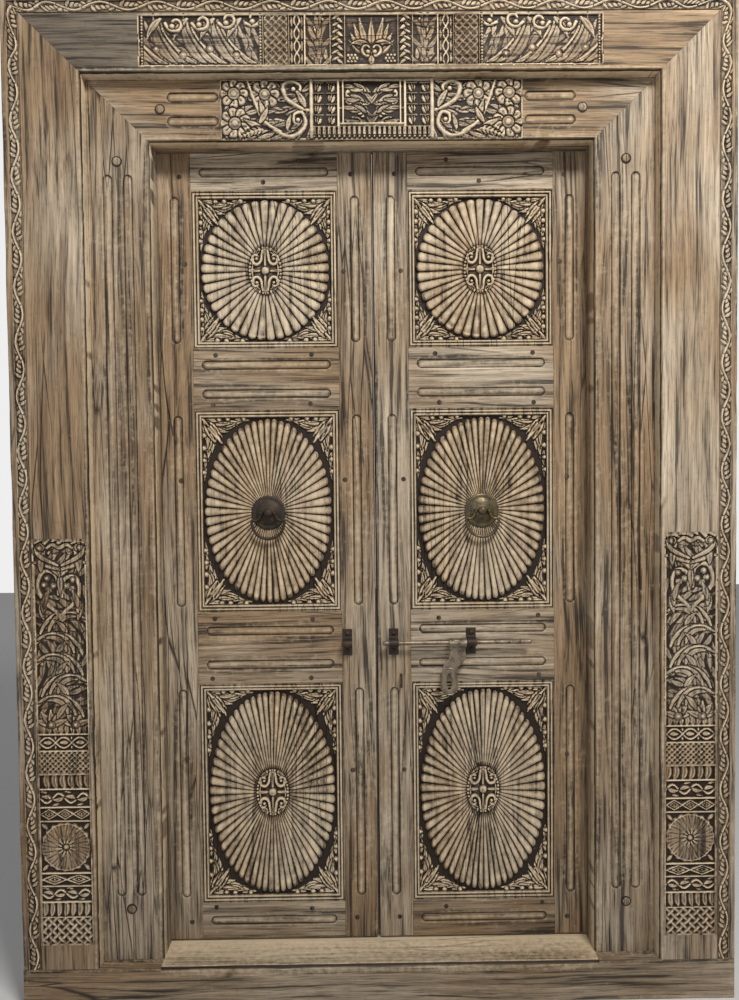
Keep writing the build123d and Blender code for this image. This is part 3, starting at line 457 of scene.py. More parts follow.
class Carving:
    """Heights over a face, which strokes of the chisel raise and sink."""

    def __init__(self, x, z):
        self.x, self.z = x.ravel(), z.ravel()
        self.h = np.zeros_like(self.x)

    def sink(self, x0, z0, x1, z1, depth, slope=1.0):
        """Sinks a rectangle, with sloping sides."""
        inside = np.minimum.reduce([self.x - x0, x1 - self.x, self.z - z0, z1 - self.z])
        self.h = np.minimum(self.h, -depth * np.clip(inside / slope, 0, 1))

    def stroke(self, points, widths, top, ground, vein=0.0, power=2.0, moat=0.0):
        """Raises a rounded band along a line. Its half widths run along it.

        With a moat it lies over what is there already, and a cut of that width goes round it.
        """
        p = np.asarray(points, float)
        w = np.interp(np.linspace(0, 1, len(p)), np.linspace(0, 1, len(widths)), widths)
        reach = w.max() + 0.5 + moat
        pick = np.flatnonzero((self.x > p[:, 0].min() - reach) & (self.x < p[:, 0].max() + reach)
                              & (self.z > p[:, 1].min() - reach) & (self.z < p[:, 1].max() + reach))
        if not len(pick):
            return
        ab = p[1:] - p[:-1]
        ax = self.x[pick, None] - p[None, :-1, 0]
        az = self.z[pick, None] - p[None, :-1, 1]
        s = np.clip((ax * ab[:, 0] + az * ab[:, 1]) / np.maximum((ab ** 2).sum(1), 1e-9), 0, 1)
        half = np.maximum(w[:-1] + s * (w[1:] - w[:-1]), 0.2)
        away = np.hypot(ax - s * ab[:, 0], az - s * ab[:, 1])
        share, beyond = (away / half).min(1), (away - half).min(1)
        inside = share < 1
        if moat:
            cut = pick[~inside & (beyond < moat)]
            self.h[cut] = np.minimum(self.h[cut], ground + 0.12 * (top - ground))
        share, pick = share[inside], pick[inside]
        lift = np.sqrt(1 - share ** power) * (1 - vein * np.exp(-(share / 0.22) ** 2))
        raised = ground + (top - ground) * lift
        self.h[pick] = raised if moat else np.maximum(self.h[pick], raised)

    def leaf(self, x, z, length, width, angle, bend=0.0, top=TOP, ground=GROUND, vein=0.35):
        """A pointed leaf with its midrib cut in."""
        shape = np.array((0.2, 0.62, 0.93, 1.0, 0.86, 0.6, 0.3, 0.04)) * width / 2
        self.stroke(arc(x, z, length, angle, bend), shape, top, ground, vein, LEAF_POWER, MOAT)

    def curl(self, x, z, length, angle, bend, width=4.0, top=TOP, ground=GROUND):
        """A stem that winds in to an eye."""
        line = arc(x, z, length, angle, bend, 1.5, 16)
        self.stroke(line, (width / 2, width / 2, width / 2.4, width / 3), top, ground, moat=MOAT)
        self.boss(line[-1, 0], line[-1, 1], width * 0.75, top, ground)

    def boss(self, x, z, radius, top=TOP, ground=GROUND):
        self.stroke(((x, z), (x + 0.01, z)), (radius, radius), top, ground, moat=1.5)

    def flower(self, x, z, radius, petals, top=TOP, ground=GROUND, eye=0.3):
        """Petals round a ringed eye."""
        for i in range(petals):
            a = 360 * i / petals
            root = radius * eye
            wide = pi * radius / petals * 0.78
            line = arc(x + root * cos(radians(a)), z + root * sin(radians(a)), radius - root - wide * 0.8,
                       a, 0, 1, 4)
            self.stroke(line, np.array((0.4, 0.8, 1.0, 1.1, 1.15)) * wide, top, ground, 0.45, LEAF_POWER,
                        1.5)
        self.boss(x, z, radius * eye * 1.15, top + 0.6, ground)
        ring = np.hypot(self.x - x, self.z - z) - radius * eye * 0.66
        self.h -= 2.6 * np.exp(-(ring / (radius * eye * 0.16)) ** 2)

    def bar(self, x0, z0, x1, z1, width, top=-0.3, ground=GROUND):
        """A straight raised fillet with a flat top."""
        self.stroke(((x0, z0), (x1, z1)), (width / 2, width / 2), top, ground, 0, 6.0)


# Half the width of a band of the net, as a share of its pitch, and how far it dips under the others
BAND_HALF = 0.27
WEAVE = 0.14


def jali(c, x0, z0, x1, z1, pitch, ground):
    """A woven net: bands over and under each other, with deep square holes between."""
    inside = (c.x > x0) & (c.x < x1) & (c.z > z0) & (c.z < z1)
    u = (c.x[inside] - x0 + c.z[inside] - z0) / pitch
    v = (c.x[inside] - x0 - c.z[inside] + z0) / pitch
    near_u, near_v = np.abs(u - np.round(u)), np.abs(v - np.round(v))
    over = np.cos(pi * (np.round(u) + np.round(v)))

    def band(near, cross, sign):
        round_top = np.sqrt(np.clip(1 - (near / BAND_HALF) ** 2, 0, 1))
        return round_top * (1 - WEAVE + sign * WEAVE * over * np.cos(pi * cross))

    raised = ground * (1 - np.maximum(band(near_u, near_v, 1), band(near_v, near_u, -1)))
    c.h[inside] = np.maximum(c.h[inside], raised)


def leaning_petals(c, x0, z0, x1, z1, count, lean, ground):
    """A row of rounded petals that lean, each with its cut middle."""
    step, tall = (x1 - x0) / count, z1 - z0
    for i in range(count):
        x = x0 + step * (i + 0.5)
        line = arc(x - lean * tall * 0.3, z0 + 2, tall * 0.98 - 2, 90 - 34 * lean, 50 * lean)
        c.stroke(line, np.array((0.45, 0.9, 1.0, 0.95, 0.8)) * step * 0.43, -0.5, ground, 0.55)


def wave_vine(c, x0, z0, x1, z1, waves, ground):
    """A stem that waves along a band, with a leaf in each hollow."""
    t = np.linspace(0, 1, 12 * waves + 1)
    middle, swing = (z0 + z1) / 2, (z1 - z0) * 0.3
    c.stroke(np.stack([x0 + (x1 - x0) * t, middle + swing * np.sin(2 * pi * waves * t)], 1), (2.6, 2.6),
             -0.4, ground)
    step = (x1 - x0) / waves / 2
    for i in range(2 * waves):
        side = 1 if i % 2 else -1
        x = x0 + step * (i + 0.15)
        low, high = middle - side * swing * 0.1, middle + side * swing * 1.2
        c.leaf(x, low, step * 0.95, swing * 0.95, side * 38, -side * 62, -0.8, ground)
        c.leaf(x + step * 0.35, high, step * 0.6, swing * 0.55, side * 18, -side * 20, -1.2, ground)


def diamond_row(c, x0, z0, x1, z1, count, ground):
    """Long diamonds inside each other, with a boss in each."""
    step, middle = (x1 - x0) / count, (z0 + z1) / 2
    half = (z1 - z0) / 2 - 1.5
    for i in range(count):
        x = x0 + step * (i + 0.5)
        for share, top in ((1.0, -0.4), (0.5, -1.0)):
            corners = [(x - step / 2 * share, middle), (x, middle + half * share),
                       (x + step / 2 * share, middle), (x, middle - half * share),
                       (x - step / 2 * share, middle)]
            c.stroke(corners, (1.7, 1.7), top, ground)
        c.boss(x, middle, 2.6, -0.6, ground)


def ovals(c, x0, z0, x1, z1, count, ground):
    """Two stems that cross and part again, with a bud in each eye."""
    t = np.linspace(0, 1, 12 * count + 1)
    middle, swing = (z0 + z1) / 2, (z1 - z0) * 0.36
    for side in SIDES:
        c.stroke(np.stack([x0 + (x1 - x0) * t, middle + side * swing * np.sin(pi * count * t)], 1),
                 (2.3, 2.3), -0.4, ground)
    step = (x1 - x0) / count
    for i in range(count):
        c.leaf(x0 + step * (i + 0.22), middle, step * 0.56, swing * 0.9, 0, 0, -0.8, ground)
    long, wide = swing * 0.75, swing * 0.45
    for i in range(count + 1):
        for side in SIDES:
            c.leaf(x0 + step * i, middle + side * swing * 0.55, long, wide, 90 * side, 0, -1, ground)


def acanthus(c, x, z, length, width, angle, bend, top=TOP, ground=GROUND, cuts=6):
    """A long leaf of slanted lobes along a rib that bends."""
    rib = arc(x, z, length, angle, bend, 1.0, 18)
    for i in range(cuts):
        k = int(1 + i * 15 / cuts)
        heading = angle + bend * k / 18
        reach = width * (1.05 - 0.6 * i / cuts)
        for side in SIDES:
            c.leaf(*rib[k], reach, reach * 0.42, heading + side * 52, -side * 34, top - 0.9, ground, 0.3)
    c.stroke(rib, np.array((1.0, 0.9, 0.75, 0.4)) * width * 0.16, top, ground)


def small_leaves(c, x0, z0, x1, z1, pitch, flow, top, ground):
    """Rows of overlapping leaves that fill the ground, and lie along a flow."""
    across, up = pitch * 0.6, pitch * 1.05
    for j in range(int((z1 - z0) / up) + 1):
        for i in range(int((x1 - x0) / across) + 1):
            x, z = x0 + across * (i + 0.5 * (j % 2)), z0 + up * j
            if x > x1 or z > z1:
                continue
            angle = flow(x, z)
            reach = pitch * (1.7 + 0.3 * sin(i * 2.1 + j * 1.3))
            bend = 46 if (i + j) % 2 else -30
            foot = x - cos(radians(angle)) * reach / 2, z - sin(radians(angle)) * reach / 2
            c.leaf(*foot, reach, pitch * 0.5, angle - bend / 2, bend, top - 0.7 * ((i * 3 + j) % 3), ground,
                   0.5)


def eye(c, x, z, radius, top, ground):
    """A ringed eye, as carved in the hollow of a curl or on a berry."""
    c.boss(x, z, radius, top - 0.5, ground)
    c.h -= 1.7 * np.exp(-((np.hypot(c.x - x, c.z - z) - radius * 0.6) / (radius * 0.17)) ** 2)


# Meshes


def deselect():
    if bpy.context.mode != "OBJECT":
        bpy.ops.object.mode_set(mode="OBJECT")
    bpy.ops.object.select_all(action="DESELECT")


def activate(obj):
    deselect()
    obj.select_set(True)
    bpy.context.view_layer.objects.active = obj


def edit(obj):
    """Opens the piece in edit mode with all of it selected."""
    activate(obj)
    bpy.ops.object.mode_set(mode="EDIT")
    bpy.ops.mesh.select_all(action="SELECT")


def leave_edit():
    bpy.ops.object.mode_set(mode="OBJECT")


def places(obj):
    """The places of the mesh's points in millimetres."""
    flat = np.empty(len(obj.data.vertices) * 3)
    obj.data.vertices.foreach_get("co", flat)
    return flat.reshape(-1, 3) / MM


def put(obj, points):
    obj.data.vertices.foreach_set("co", (np.asarray(points) * MM).ravel())
    obj.data.update()


def paint(obj, name, values):
    """Keeps one number per point of the mesh under a name, which its material reads."""
    layer = obj.data.attributes.get(name) or obj.data.attributes.new(name, "FLOAT", "POINT")
    layer.data.foreach_set("value", np.broadcast_to(values, len(obj.data.vertices)).astype(np.float32))


def sheet(points):
    """A surface through rows and columns of places."""
    rows, columns = points.shape[:2]
    deselect()
    bpy.ops.mesh.primitive_grid_add(x_subdivisions=columns - 1, y_subdivisions=rows - 1, size=1)
    obj = bpy.context.object
    put(obj, points.reshape(-1, 3))
    return obj


def merge(obj, gap=0.004):
    edit(obj)
    bpy.ops.mesh.remove_doubles(threshold=gap * MM)
    bpy.ops.mesh.select_all(action="SELECT")
    bpy.ops.mesh.normals_make_consistent(inside=False)
    leave_edit()


def close_back(obj, stages):
    """Carries the rim of a front back to each depth in turn, and closes it there.

    A stage is a depth and, if the board narrows there, a function that moves the rim's places.
    """
    edit(obj)
    bpy.ops.mesh.select_mode(type="EDGE")
    bpy.ops.mesh.region_to_loop()
    for depth, narrow in stages:
        start = len(obj.data.vertices)
        bpy.ops.mesh.extrude_edges_move(TRANSFORM_OT_translate={"value": (0, MM, 0)})
        leave_edit()
        points = places(obj)
        rim = slice(start, None)
        points[rim, 1] = depth
        if narrow:
            points[rim] = narrow(points[rim])
        put(obj, points)
        bpy.ops.object.mode_set(mode="EDIT")
    bpy.ops.mesh.edge_face_add()
    bpy.ops.mesh.select_all(action="SELECT")
    bpy.ops.mesh.normals_make_consistent(inside=False)
    leave_edit()


def blurred(field, cells, wrap):
    """A moving mean over both directions of a grid."""
    for axis in (0, 1):
        wide = min(cells, field.shape[axis] // 2)
        mode = "wrap" if wrap and axis == 1 else "edge"
        pad = [(0, 0), (0, 0)]
        pad[axis] = (wide + 1, wide)
        total = np.cumsum(np.pad(field, pad, mode=mode), axis=axis)
        ahead = np.take(total, range(2 * wide + 1, total.shape[axis]), axis=axis)
        behind = np.take(total, range(0, total.shape[axis] - 2 * wide - 1), axis=axis)
        field = (ahead - behind) / (2 * wide + 1)
    return field


def cut_tone(height, cells, wrap=False):
    """0 on a ridge, 0.5 on flat wood and 1 in a deep cut."""
    around = blurred(blurred(height, cells, wrap), cells, wrap)
    deep = np.clip(-height, 0, 8) / 60 + np.clip(-4.6 - height, 0, 3) / 9
    return np.clip(0.5 + (around - height) / 8 + deep, 0, 1)


def plain_back(obj, tone=0.58):
    """Gives the back of a piece one tone."""
    values = np.empty(len(obj.data.vertices), np.float32)
    obj.data.attributes["cut"].data.foreach_get("value", values)
    depth = places(obj)[:, 1]
    paint(obj, "cut", np.where(depth > depth.max() - 0.01, tone, values))


def lines(low, high, step, fine=()):
    """Grid lines from low to high, with finer ones at the places given."""
    wanted = np.concatenate([np.linspace(low, high, max(2, round((high - low) / step) + 1)),
                             np.asarray(list(fine), float)])
    wanted = np.unique(np.round(wanted[(wanted >= low) & (wanted <= high)], 3))
    fixed = set(np.round(np.asarray(list(fine), float), 3)) | {round(low, 3), round(high, 3)}
    kept = [wanted[0]]
    for value in wanted[1:]:
        if value - kept[-1] < 0.45:
            if value in fixed and kept[-1] not in fixed:
                kept[-1] = value
            elif value in fixed and value - kept[-1] > 0.05:
                kept.append(value)
        else:
            kept.append(value)
    return np.array(kept)


EDGE_STEPS = (0, 0.25, 0.9, 2.0, 3.6)


def edge_lines(low, high):
    return [low + s for s in EDGE_STEPS] + [high - s for s in EDGE_STEPS]


def worn_edges(c, x0, z0, x1, z1, radius, seed):
    """Rounds the edges of a face, more where they took knocks."""
    inside = np.minimum.reduce([c.x - x0, x1 - c.x, c.z - z0, z1 - c.z])
    wear = radius * (1 + 0.5 * noise(c.x, c.z, 60, seed) + 0.3 * noise(c.x, c.z, 17, seed + 1))
    share = np.clip(1 - inside / wear, 0, 1)
    c.h -= wear * (1 - np.sqrt(1 - share ** 2)) * 0.9


def hewn(c, seed, amount=0.35):
    """The slow waves that hand planes and weather leave on a face."""
    c.h += amount * (noise(c.x, c.z, 130, seed) + 0.5 * noise(c.x, c.z, 37, seed + 2)) - 1.2 * amount


# Depth of a pocket in the frame that a carved piece fills, and the gap round that piece
POCKET = 8
SEAT = 0.15
CHAMFER = 5


def chamfer(c, inside):
    """Slopes a face off towards an edge, from the distance inside that edge."""
    c.h -= np.clip(CHAMFER - inside, 0, CHAMFER)


board_count = 0


def dress(obj, name, body, material, nodes=(), angle=38):
    """Names a finished piece, gives it its material and its body, and hides the CAD nodes that it stands
    for.
    """
    global board_count
    board_count += 1
    obj.name = obj.data.name = name
    obj.data.materials.clear()
    obj.data.materials.append(material)
    paint(obj, "board", (board_count * 0.618) % 1)
    if "cut" not in obj.data.attributes:
        paint(obj, "cut", 0.5)
    activate(obj)
    bpy.ops.object.shade_smooth_by_angle(angle=radians(angle))
    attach(obj, body)
    if nodes:
        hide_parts(*nodes)
    return obj


def board(us, vs, face, stages, carve, side=1, place=None, cells=2, wall=0.7):
    """A closed carved board. Its front is a grid over us and vs, and carve shapes it."""
    u, v = np.meshgrid(us, vs)
    c = Carving(side * u, v)
    carve(c)
    height = c.h.reshape(u.shape)
    x, z = place(u, v) if place else (u, v)
    obj = sheet(np.stack([x, face - height, z], 2))
    close_back(obj, stages)
    tone = cut_tone(np.where(height < 0.5 - POCKET, 0, height), cells)
    for rim in (tone[0], tone[-1], tone[:, 0], tone[:, -1]):
        rim[:] = np.minimum(rim, 0.5)
    tone = tone.ravel()
    # The sides and back take the one tone wall: the usual 0.7 lays patchy soiling with painted shade on the
    # reveals and edges, and a low one lays rubbed wood with a painted highlight
    paint(obj, "cut", np.concatenate([tone, np.full(len(obj.data.vertices) - len(tone), wall)]))
    if len(stages) > 1:
        plain_back(obj)
    return obj


def even_lines(low, high, cell, seat=SEAT):
    """Even grid lines over a carved piece, which stands a little clear of its pocket."""
    return np.linspace(low + seat, high - seat, round((high - low) / cell) + 1)


def add_insert(name, us, vs, carve, side=1, place=None, face=0, back=POCKET - SEAT, along="X"):
    """A carved piece let into the frame."""
    obj = board(mirrored_lines(us, side), vs, face, [(back, None)], carve, side, place)
    label, seed = ("carved_teak_level", 5) if along == "X" else ("carved_teak_upright", 4)
    # Carved pieces take more soiling with painted shade in their cuts, and more rubbed wood with a painted
    # highlight on their ridges, than plain boards
    dress(obj, name, "frame", wood(label, along, 1.25, 1.0, seed=seed), angle=50)


def mirrored_lines(values, side):
    return values if side > 0 else -values[::-1]


def hand(side):
    return "right" if side > 0 else "left"


def flute_lines(middle):
    """Grid lines across a flute, which its round edge and its reed need."""
    half = size("flute") / 2
    return [middle + half * s for s in (-1.02, -0.99, -0.93, -0.84, -0.66, -0.4, 0, 0.4, 0.66, 0.84, 0.93,
                                        0.99, 1.02)]


def flute_end_lines(low, high):
    """Grid lines across the round ends of a flute."""
    half = size("flute") / 2
    steps = [half * s for s in (-0.03, 0.01, 0.07, 0.16, 0.3, 0.5, 0.75, 1.05)]
    return [low + s for s in steps] + [high - s for s in steps]


def flute(c, x, z, length, upright):
    """A stopped flute with round ends and a rounded reed standing in it."""
    half, depth = size("flute") / 2, size("flute_depth")
    run = length / 2 - half
    along = np.abs(c.z - z if upright else c.x - x)
    across = np.abs(c.x - x if upright else c.z - z)
    share = np.hypot(np.clip(along - run, 0, None), across) / half
    reed = 0.12 + 0.88 * np.clip(share / 0.84, 0, 1) ** 2.4
    wall = np.clip((1 - share) / 0.14, 0, 1)
    c.h -= np.where(share < 1, depth * np.minimum(reed, wall), 0)


# Outer frame

# A board is slanted to its mitre over its last run
MITRE_RUN = 20
SILL_BEVEL = 8
# The line cut beside the border: how wide and deep it is, and how far its sides slope
GUIDE_WIDTH, GUIDE_DEPTH, GUIDE_SLOPE = 3, 4.5, 0.5
INSERT_X = (CARVE_NEAR - 2, CARVE_FAR + 2)
INSERT_Z = (BAND_LEVELS[0] - 2, PLANT_TOP + 2)
LINTEL_INSERT_X = LINTEL_EDGES[-1] + 2
LINTEL_INSERT_Z = (LINTEL_CARVE_LOW - 2, LINTEL_CARVE_HIGH + 2)


def pocket_lines(low, high):
    return low, low + SEAT, high - SEAT, high


def border_lines(start):
    """Grid lines across the pocket of the vine border and the line cut beside it."""
    return (start - GUIDE_WIDTH, start - GUIDE_WIDTH + GUIDE_SLOPE,
            *pocket_lines(start, start + BORDER_WIDTH))


def cut_pocket(c, x0, z0, x1, z1):
    """The seat that a carved piece fills."""
    c.sink(x0, z0, x1, z1, POCKET, SEAT)


def upright_mitre(near, low, far, high):
    """Slants the head of an upright board, from low at its near edge to high at its far edge."""
    start, rate = low - MITRE_RUN, (high - low) / (far - near)

    def place(u, v):
        top = low + (np.abs(u) - near) * rate
        return u, np.where(v > start, start + (v - start) * (top - start) / (high - start), v)

    return place


def level_mitre(near, low, far, high):
    """Slants both ends of a level board, from near at its lower edge to far at its upper edge."""
    start, rate = near - MITRE_RUN, (high - low) / (far - near)

    def place(u, v):
        end = near + (v - low) / rate
        beyond = np.abs(u) - start
        x = start + beyond * (end - start) / (far - start)
        return np.where(beyond > 0, np.sign(u) * x, u), v

    return place


jamb_mitre = upright_mitre(REVEAL_X, REVEAL_Z, OUTER_X, OUTER_Z)
lintel_mitre = level_mitre(REVEAL_X, REVEAL_Z, OUTER_X, OUTER_Z)


def add_sill():
    def carve(c):
        hewn(c, 1, 0.5)
        bevel = np.clip(SILL_BEVEL - (SILL_TOP - c.z), 0, SILL_BEVEL)
        c.h -= np.where(np.abs(c.x) < OPENING_X, bevel, 0)
        worn_edges(c, -OUTER_X, 0, OUTER_X, SILL_TOP, 3.5, 1)

    us = lines(-OUTER_X, OUTER_X, 18, [*edge_lines(-OUTER_X, OUTER_X), -OPENING_X - 0.3, -OPENING_X + 0.3,
                                       OPENING_X - 0.3, OPENING_X + 0.3])
    vs = lines(0, SILL_TOP, 9, [*edge_lines(0, SILL_TOP), SILL_TOP - SILL_BEVEL])
    # Its top, ends and back take a low tone: rubbed pale by feet, and a painted highlight for the top lit
    # from above
    obj = board(us, vs, 0, [(FRAME_BACK, None)], carve, wall=0.12)
    dress(obj, "sill_beam", "frame", wood("sill_teak", "X", warmth=0.1, seed=3), ["sill"])


def add_outer_jamb(side):
    def carve(c):
        hewn(c, 5 + side, 0.45)
        chamfer(c, c.x - REVEAL_X)
        worn_edges(c, REVEAL_X, -BEYOND, OUTER_X, BEYOND, 4.5, 3 + side)
        worn_edges(c, -BEYOND, SILL_TOP, BEYOND, OUTER_Z, 1.0, 4)
        c.sink(BORDER_X - GUIDE_WIDTH, -BEYOND, BORDER_X, BEYOND, GUIDE_DEPTH, GUIDE_SLOPE)
        cut_pocket(c, BORDER_X, -BEYOND, BORDER_X + BORDER_WIDTH, BEYOND)
        cut_pocket(c, INSERT_X[0], INSERT_Z[0], INSERT_X[1], INSERT_Z[1])

    us = lines(REVEAL_X, OUTER_X, 9, [*edge_lines(REVEAL_X, OUTER_X), REVEAL_X + CHAMFER,
                                      *pocket_lines(*INSERT_X), *border_lines(BORDER_X)])
    vs = lines(SILL_TOP, OUTER_Z, 14, [*edge_lines(SILL_TOP, OUTER_Z), *pocket_lines(*INSERT_Z)])
    obj = board(mirrored_lines(us, side), vs, 0, [(FRAME_BACK, None)], carve, side, jamb_mitre)
    name = hand(side)
    # The right jamb's wood is painted brighter than the left's: painted light that falls from the right
    material = wood("pale_jamb_teak", "Z", seed=1, shade=1.12) if side > 0 else jamb_teak()
    dress(obj, f"{name}_outer_jamb_board", "frame", material, [f"{name}_outer_jamb"])


def add_outer_lintel():
    def carve(c):
        hewn(c, 9, 0.45)
        chamfer(c, c.z - REVEAL_Z)
        worn_edges(c, -BEYOND, REVEAL_Z, BEYOND, OUTER_Z, 4.5, 5)
        worn_edges(c, -OUTER_X, -BEYOND, OUTER_X, BEYOND, 1.0, 6)
        c.sink(-BEYOND, BORDER_Z - GUIDE_WIDTH, BEYOND, BORDER_Z, GUIDE_DEPTH, GUIDE_SLOPE)
        cut_pocket(c, -BEYOND, BORDER_Z, BEYOND, BORDER_Z + BORDER_WIDTH)
        cut_pocket(c, -LINTEL_INSERT_X, LINTEL_INSERT_Z[0], LINTEL_INSERT_X, LINTEL_INSERT_Z[1])

    us = lines(-OUTER_X, OUTER_X, 14, [*edge_lines(-OUTER_X, OUTER_X),
                                       *pocket_lines(-LINTEL_INSERT_X, LINTEL_INSERT_X)])
    vs = lines(REVEAL_Z, OUTER_Z, 9, [*edge_lines(REVEAL_Z, OUTER_Z), REVEAL_Z + CHAMFER,
                                      *pocket_lines(*LINTEL_INSERT_Z), *border_lines(BORDER_Z)])
    obj = board(us, vs, 0, [(FRAME_BACK, None)], carve, 1, lintel_mitre)
    # The outer lintel is painted brighter, and darker towards its left end: painted light that falls from
    # the right
    dress(obj, "outer_lintel_board", "frame",
          wood("head_teak", "X", seed=2, shade=1.15, painted_left_shade=0.3), ["outer_lintel"])


VINE_PERIOD = 131
VINE_FINENESS = 0.9


def vine_scroll(c, length):
    """A stem that waves along a strip, with a curl and a fan of leaves in each hollow.

    The strip runs along c.z from 0 to length, and is as wide as c.x from 0 to the border's width.
    """
    ground = -4.6
    count = round(length / VINE_PERIOD)
    period = length / count
    middle = BORDER_WIDTH / 2
    swing = middle - 4.2
    c.h = np.minimum(c.h, ground)
    t = np.linspace(0, length, 16 * count + 1)
    stem = np.stack([middle + swing * np.sin(2 * pi * t / period), t], 1)
    for i in range(2 * count):
        side = 1 if i % 2 else -1
        start = period * i / 2
        c.curl(middle - side * swing * 0.2, start + period * 0.1, 26, 90 - side * 70, side * 330, 3.4,
               -0.5, ground)
        for k in range(5):
            z = start + period * (0.1 + 0.085 * k)
            c.leaf(middle - side * 1.5, z, 19 - 1.6 * k, 8.6, 90 - side * (66 - 9 * k), side * 34, -0.7,
                   ground, 0.3)
        for x, share, reach, wide, lean, bend in ((-8, 0.02, 21, 8.0, 14, -34), (9, 0.4, 20, 7.0, 10, 30)):
            c.leaf(middle + side * x, start + period * share, reach, wide, 90 + side * lean, side * bend,
                   -0.8, ground, 0.3)
    for k in range(0, len(stem) - 1, 8):
        c.stroke(stem[max(0, k - 1):k + 10], (2.8, 2.8), -0.2, ground, moat=1.2)
    c.bar(0.8, 0, 0.8, length, 1.6, -0.5, ground)


def add_vine_sides(side):
    def carve(c):
        c.x, c.z = OUTER_X - BORDER_FILLET - c.x, c.z - SILL_TOP
        vine_scroll(c, OUTER_Z - SILL_TOP)

    cell = size("cell") * VINE_FINENESS
    us = even_lines(BORDER_X, BORDER_X + BORDER_WIDTH, cell)
    vs = even_lines(SILL_TOP, OUTER_Z, cell, 0)
    add_insert(f"{hand(side)}_vine_border", us, vs, carve, side, jamb_mitre, along="Z")


def add_vine_head():
    def carve(c):
        c.x, c.z = OUTER_Z - BORDER_FILLET - c.z, c.x + OUTER_X
        vine_scroll(c, 2 * OUTER_X)

    cell = size("cell") * VINE_FINENESS
    us = even_lines(-OUTER_X, OUTER_X, cell, 0)
    vs = even_lines(BORDER_Z, BORDER_Z + BORDER_WIDTH, cell)
    add_insert("head_vine_border", us, vs, carve, 1, lintel_mitre)


def rosette(c, x, z, radius, ground):
    """A round flower of many petals in a ring."""
    turn = np.linspace(0, 2 * pi, 49)
    rim = np.stack([x + radius * np.cos(turn), z + radius * np.sin(turn)], 1)
    c.stroke(rim, (1.6, 1.6), -0.4, ground)
    for i in range(20):
        a = 360 * i / 20
        c.stroke(arc(x + 21 * cos(radians(a)), z + 21 * sin(radians(a)), radius - 23, a, 16, 1, 5),
                 (3.0, 6.2, 8.4, 9.4, 7.6), -0.5, ground, 0.6)
    for i in range(12):
        a = 360 * (i + 0.5) / 12
        c.stroke(arc(x + 9 * cos(radians(a)), z + 9 * sin(radians(a)), 15, a, 20, 1, 4),
                 (1.8, 3.2, 3.6, 2.2), 0, ground + 1, 0.3)
    c.boss(x, z, 7.5, -0.2, ground)
    for sx in SIDES:
        for sz in SIDES:
            inward = 270 + 45 * sx * sz - 90 * sx
            c.leaf(x + sx * (radius + 1), z + sz * (radius + 1), 22, 9, inward, 0, -1, ground)


def jamb_foliage(c, x0, x1, z0, ground):
    """A tall plant: sweeping stems with berries, a heart that holds more, and a crown of volutes."""
    wide, middle = x1 - x0, (x0 + x1) / 2
    leaning_petals(c, x0 + 3, z0 + 1, x1 - 3, z0 + 17, 8, 0.4, ground)
    for side in SIDES:
        x = middle + side * 29
        for k in range(5):
            c.leaf(x, z0 + 20, 42, 16, 90 + 34 * (k - 2), 0, -0.8 - 0.5 * (k % 2), ground, 0.5)
        eye(c, x, z0 + 22, 10, -0.2, ground)
    for i in (4, 3, 2, 1, 0):
        side = -1 if i in (1, 4) else 1
        z = z0 + 58 + 50 * i
        foot = middle - side * wide * 0.42
        for k in range(3):
            line = arc(foot + side * 19 * k, z - 16 + 4 * k, 158 - 48 * k, 90 - side * (14 - 4 * k),
                       -side * (142 - 22 * k))
            c.stroke(line, (3.0, 6.4, 5.6, 3.0), -0.3 - 0.5 * k, ground, 0.4, moat=2.4)
        eye(c, foot + side * 128, z + 14, 9.5, -0.2, ground)
        c.leaf(foot + side * 62, z - 20, 46, 15, 90 + side * 18, side * 40, -1.2, ground, 0.5)
    heart = z0 + 292
    for side, reach, berries in ((-1, 0.86, 3), (1, 1.0, 4)):
        loop = np.array([(0, -14), (14, 4), (34, 22), (50, 48), (52, 74), (42, 94), (26, 99), (10, 88),
                         (5, 66), (4, 44)]) * (side * reach, reach)
        c.h[np.hypot(c.x - middle - side * 27, c.z - heart - 66) < 27] = ground
        c.stroke(smooth(loop + (middle, heart)), (4.4, 5.0, 4.4), -0.2, ground, 0.25)
        for k in range(berries):
            a = radians(200 + 300 / berries * k)
            x = middle + side * (27 + 11.5 * cos(a)) * reach
            eye(c, x, heart + 68 + 15 * sin(a), 7.4, -0.3, ground)
        for k in range(3):
            c.leaf(middle + side * 40, heart - 18 + 14 * k, 50, 14, 90 - side * (20 - 12 * k), side * 26,
                   -0.9 - 0.6 * k, ground, 0.5)
    c.leaf(middle, heart + 92, 56, 15, -90, 0, -0.2, ground, 0.5)
    for side in SIDES:
        c.leaf(middle, heart + 84, 62, 19, 90 - side * 20, -side * 72, -0.4, ground, 0.5)
        c.leaf(middle, heart + 100, 74, 18, 90 - side * 58, -side * 34, -0.6, ground, 0.5)
        c.leaf(middle + side * 44, heart + 96, 56, 18, 90 - side * 8, side * 40, -0.9, ground, 0.5)
        line = arc(middle + side * 5, heart + 112, 104, 90 - side * 66, side * 430, 4.0, 24)
        c.stroke(line, (3.2, 5.8, 5.0, 3.8), -0.2, ground, 0.3, moat=2.2)
        eye(c, *line[-1], 7.5, -0.1, ground)
    cap = smooth([(-30, -3), (-16, 5), (0, -2), (16, 5), (30, -3)])
    c.stroke(cap + (middle, heart + 156), (3.5, 5.5, 3.5), -0.2, ground, 0.3, moat=2.2)


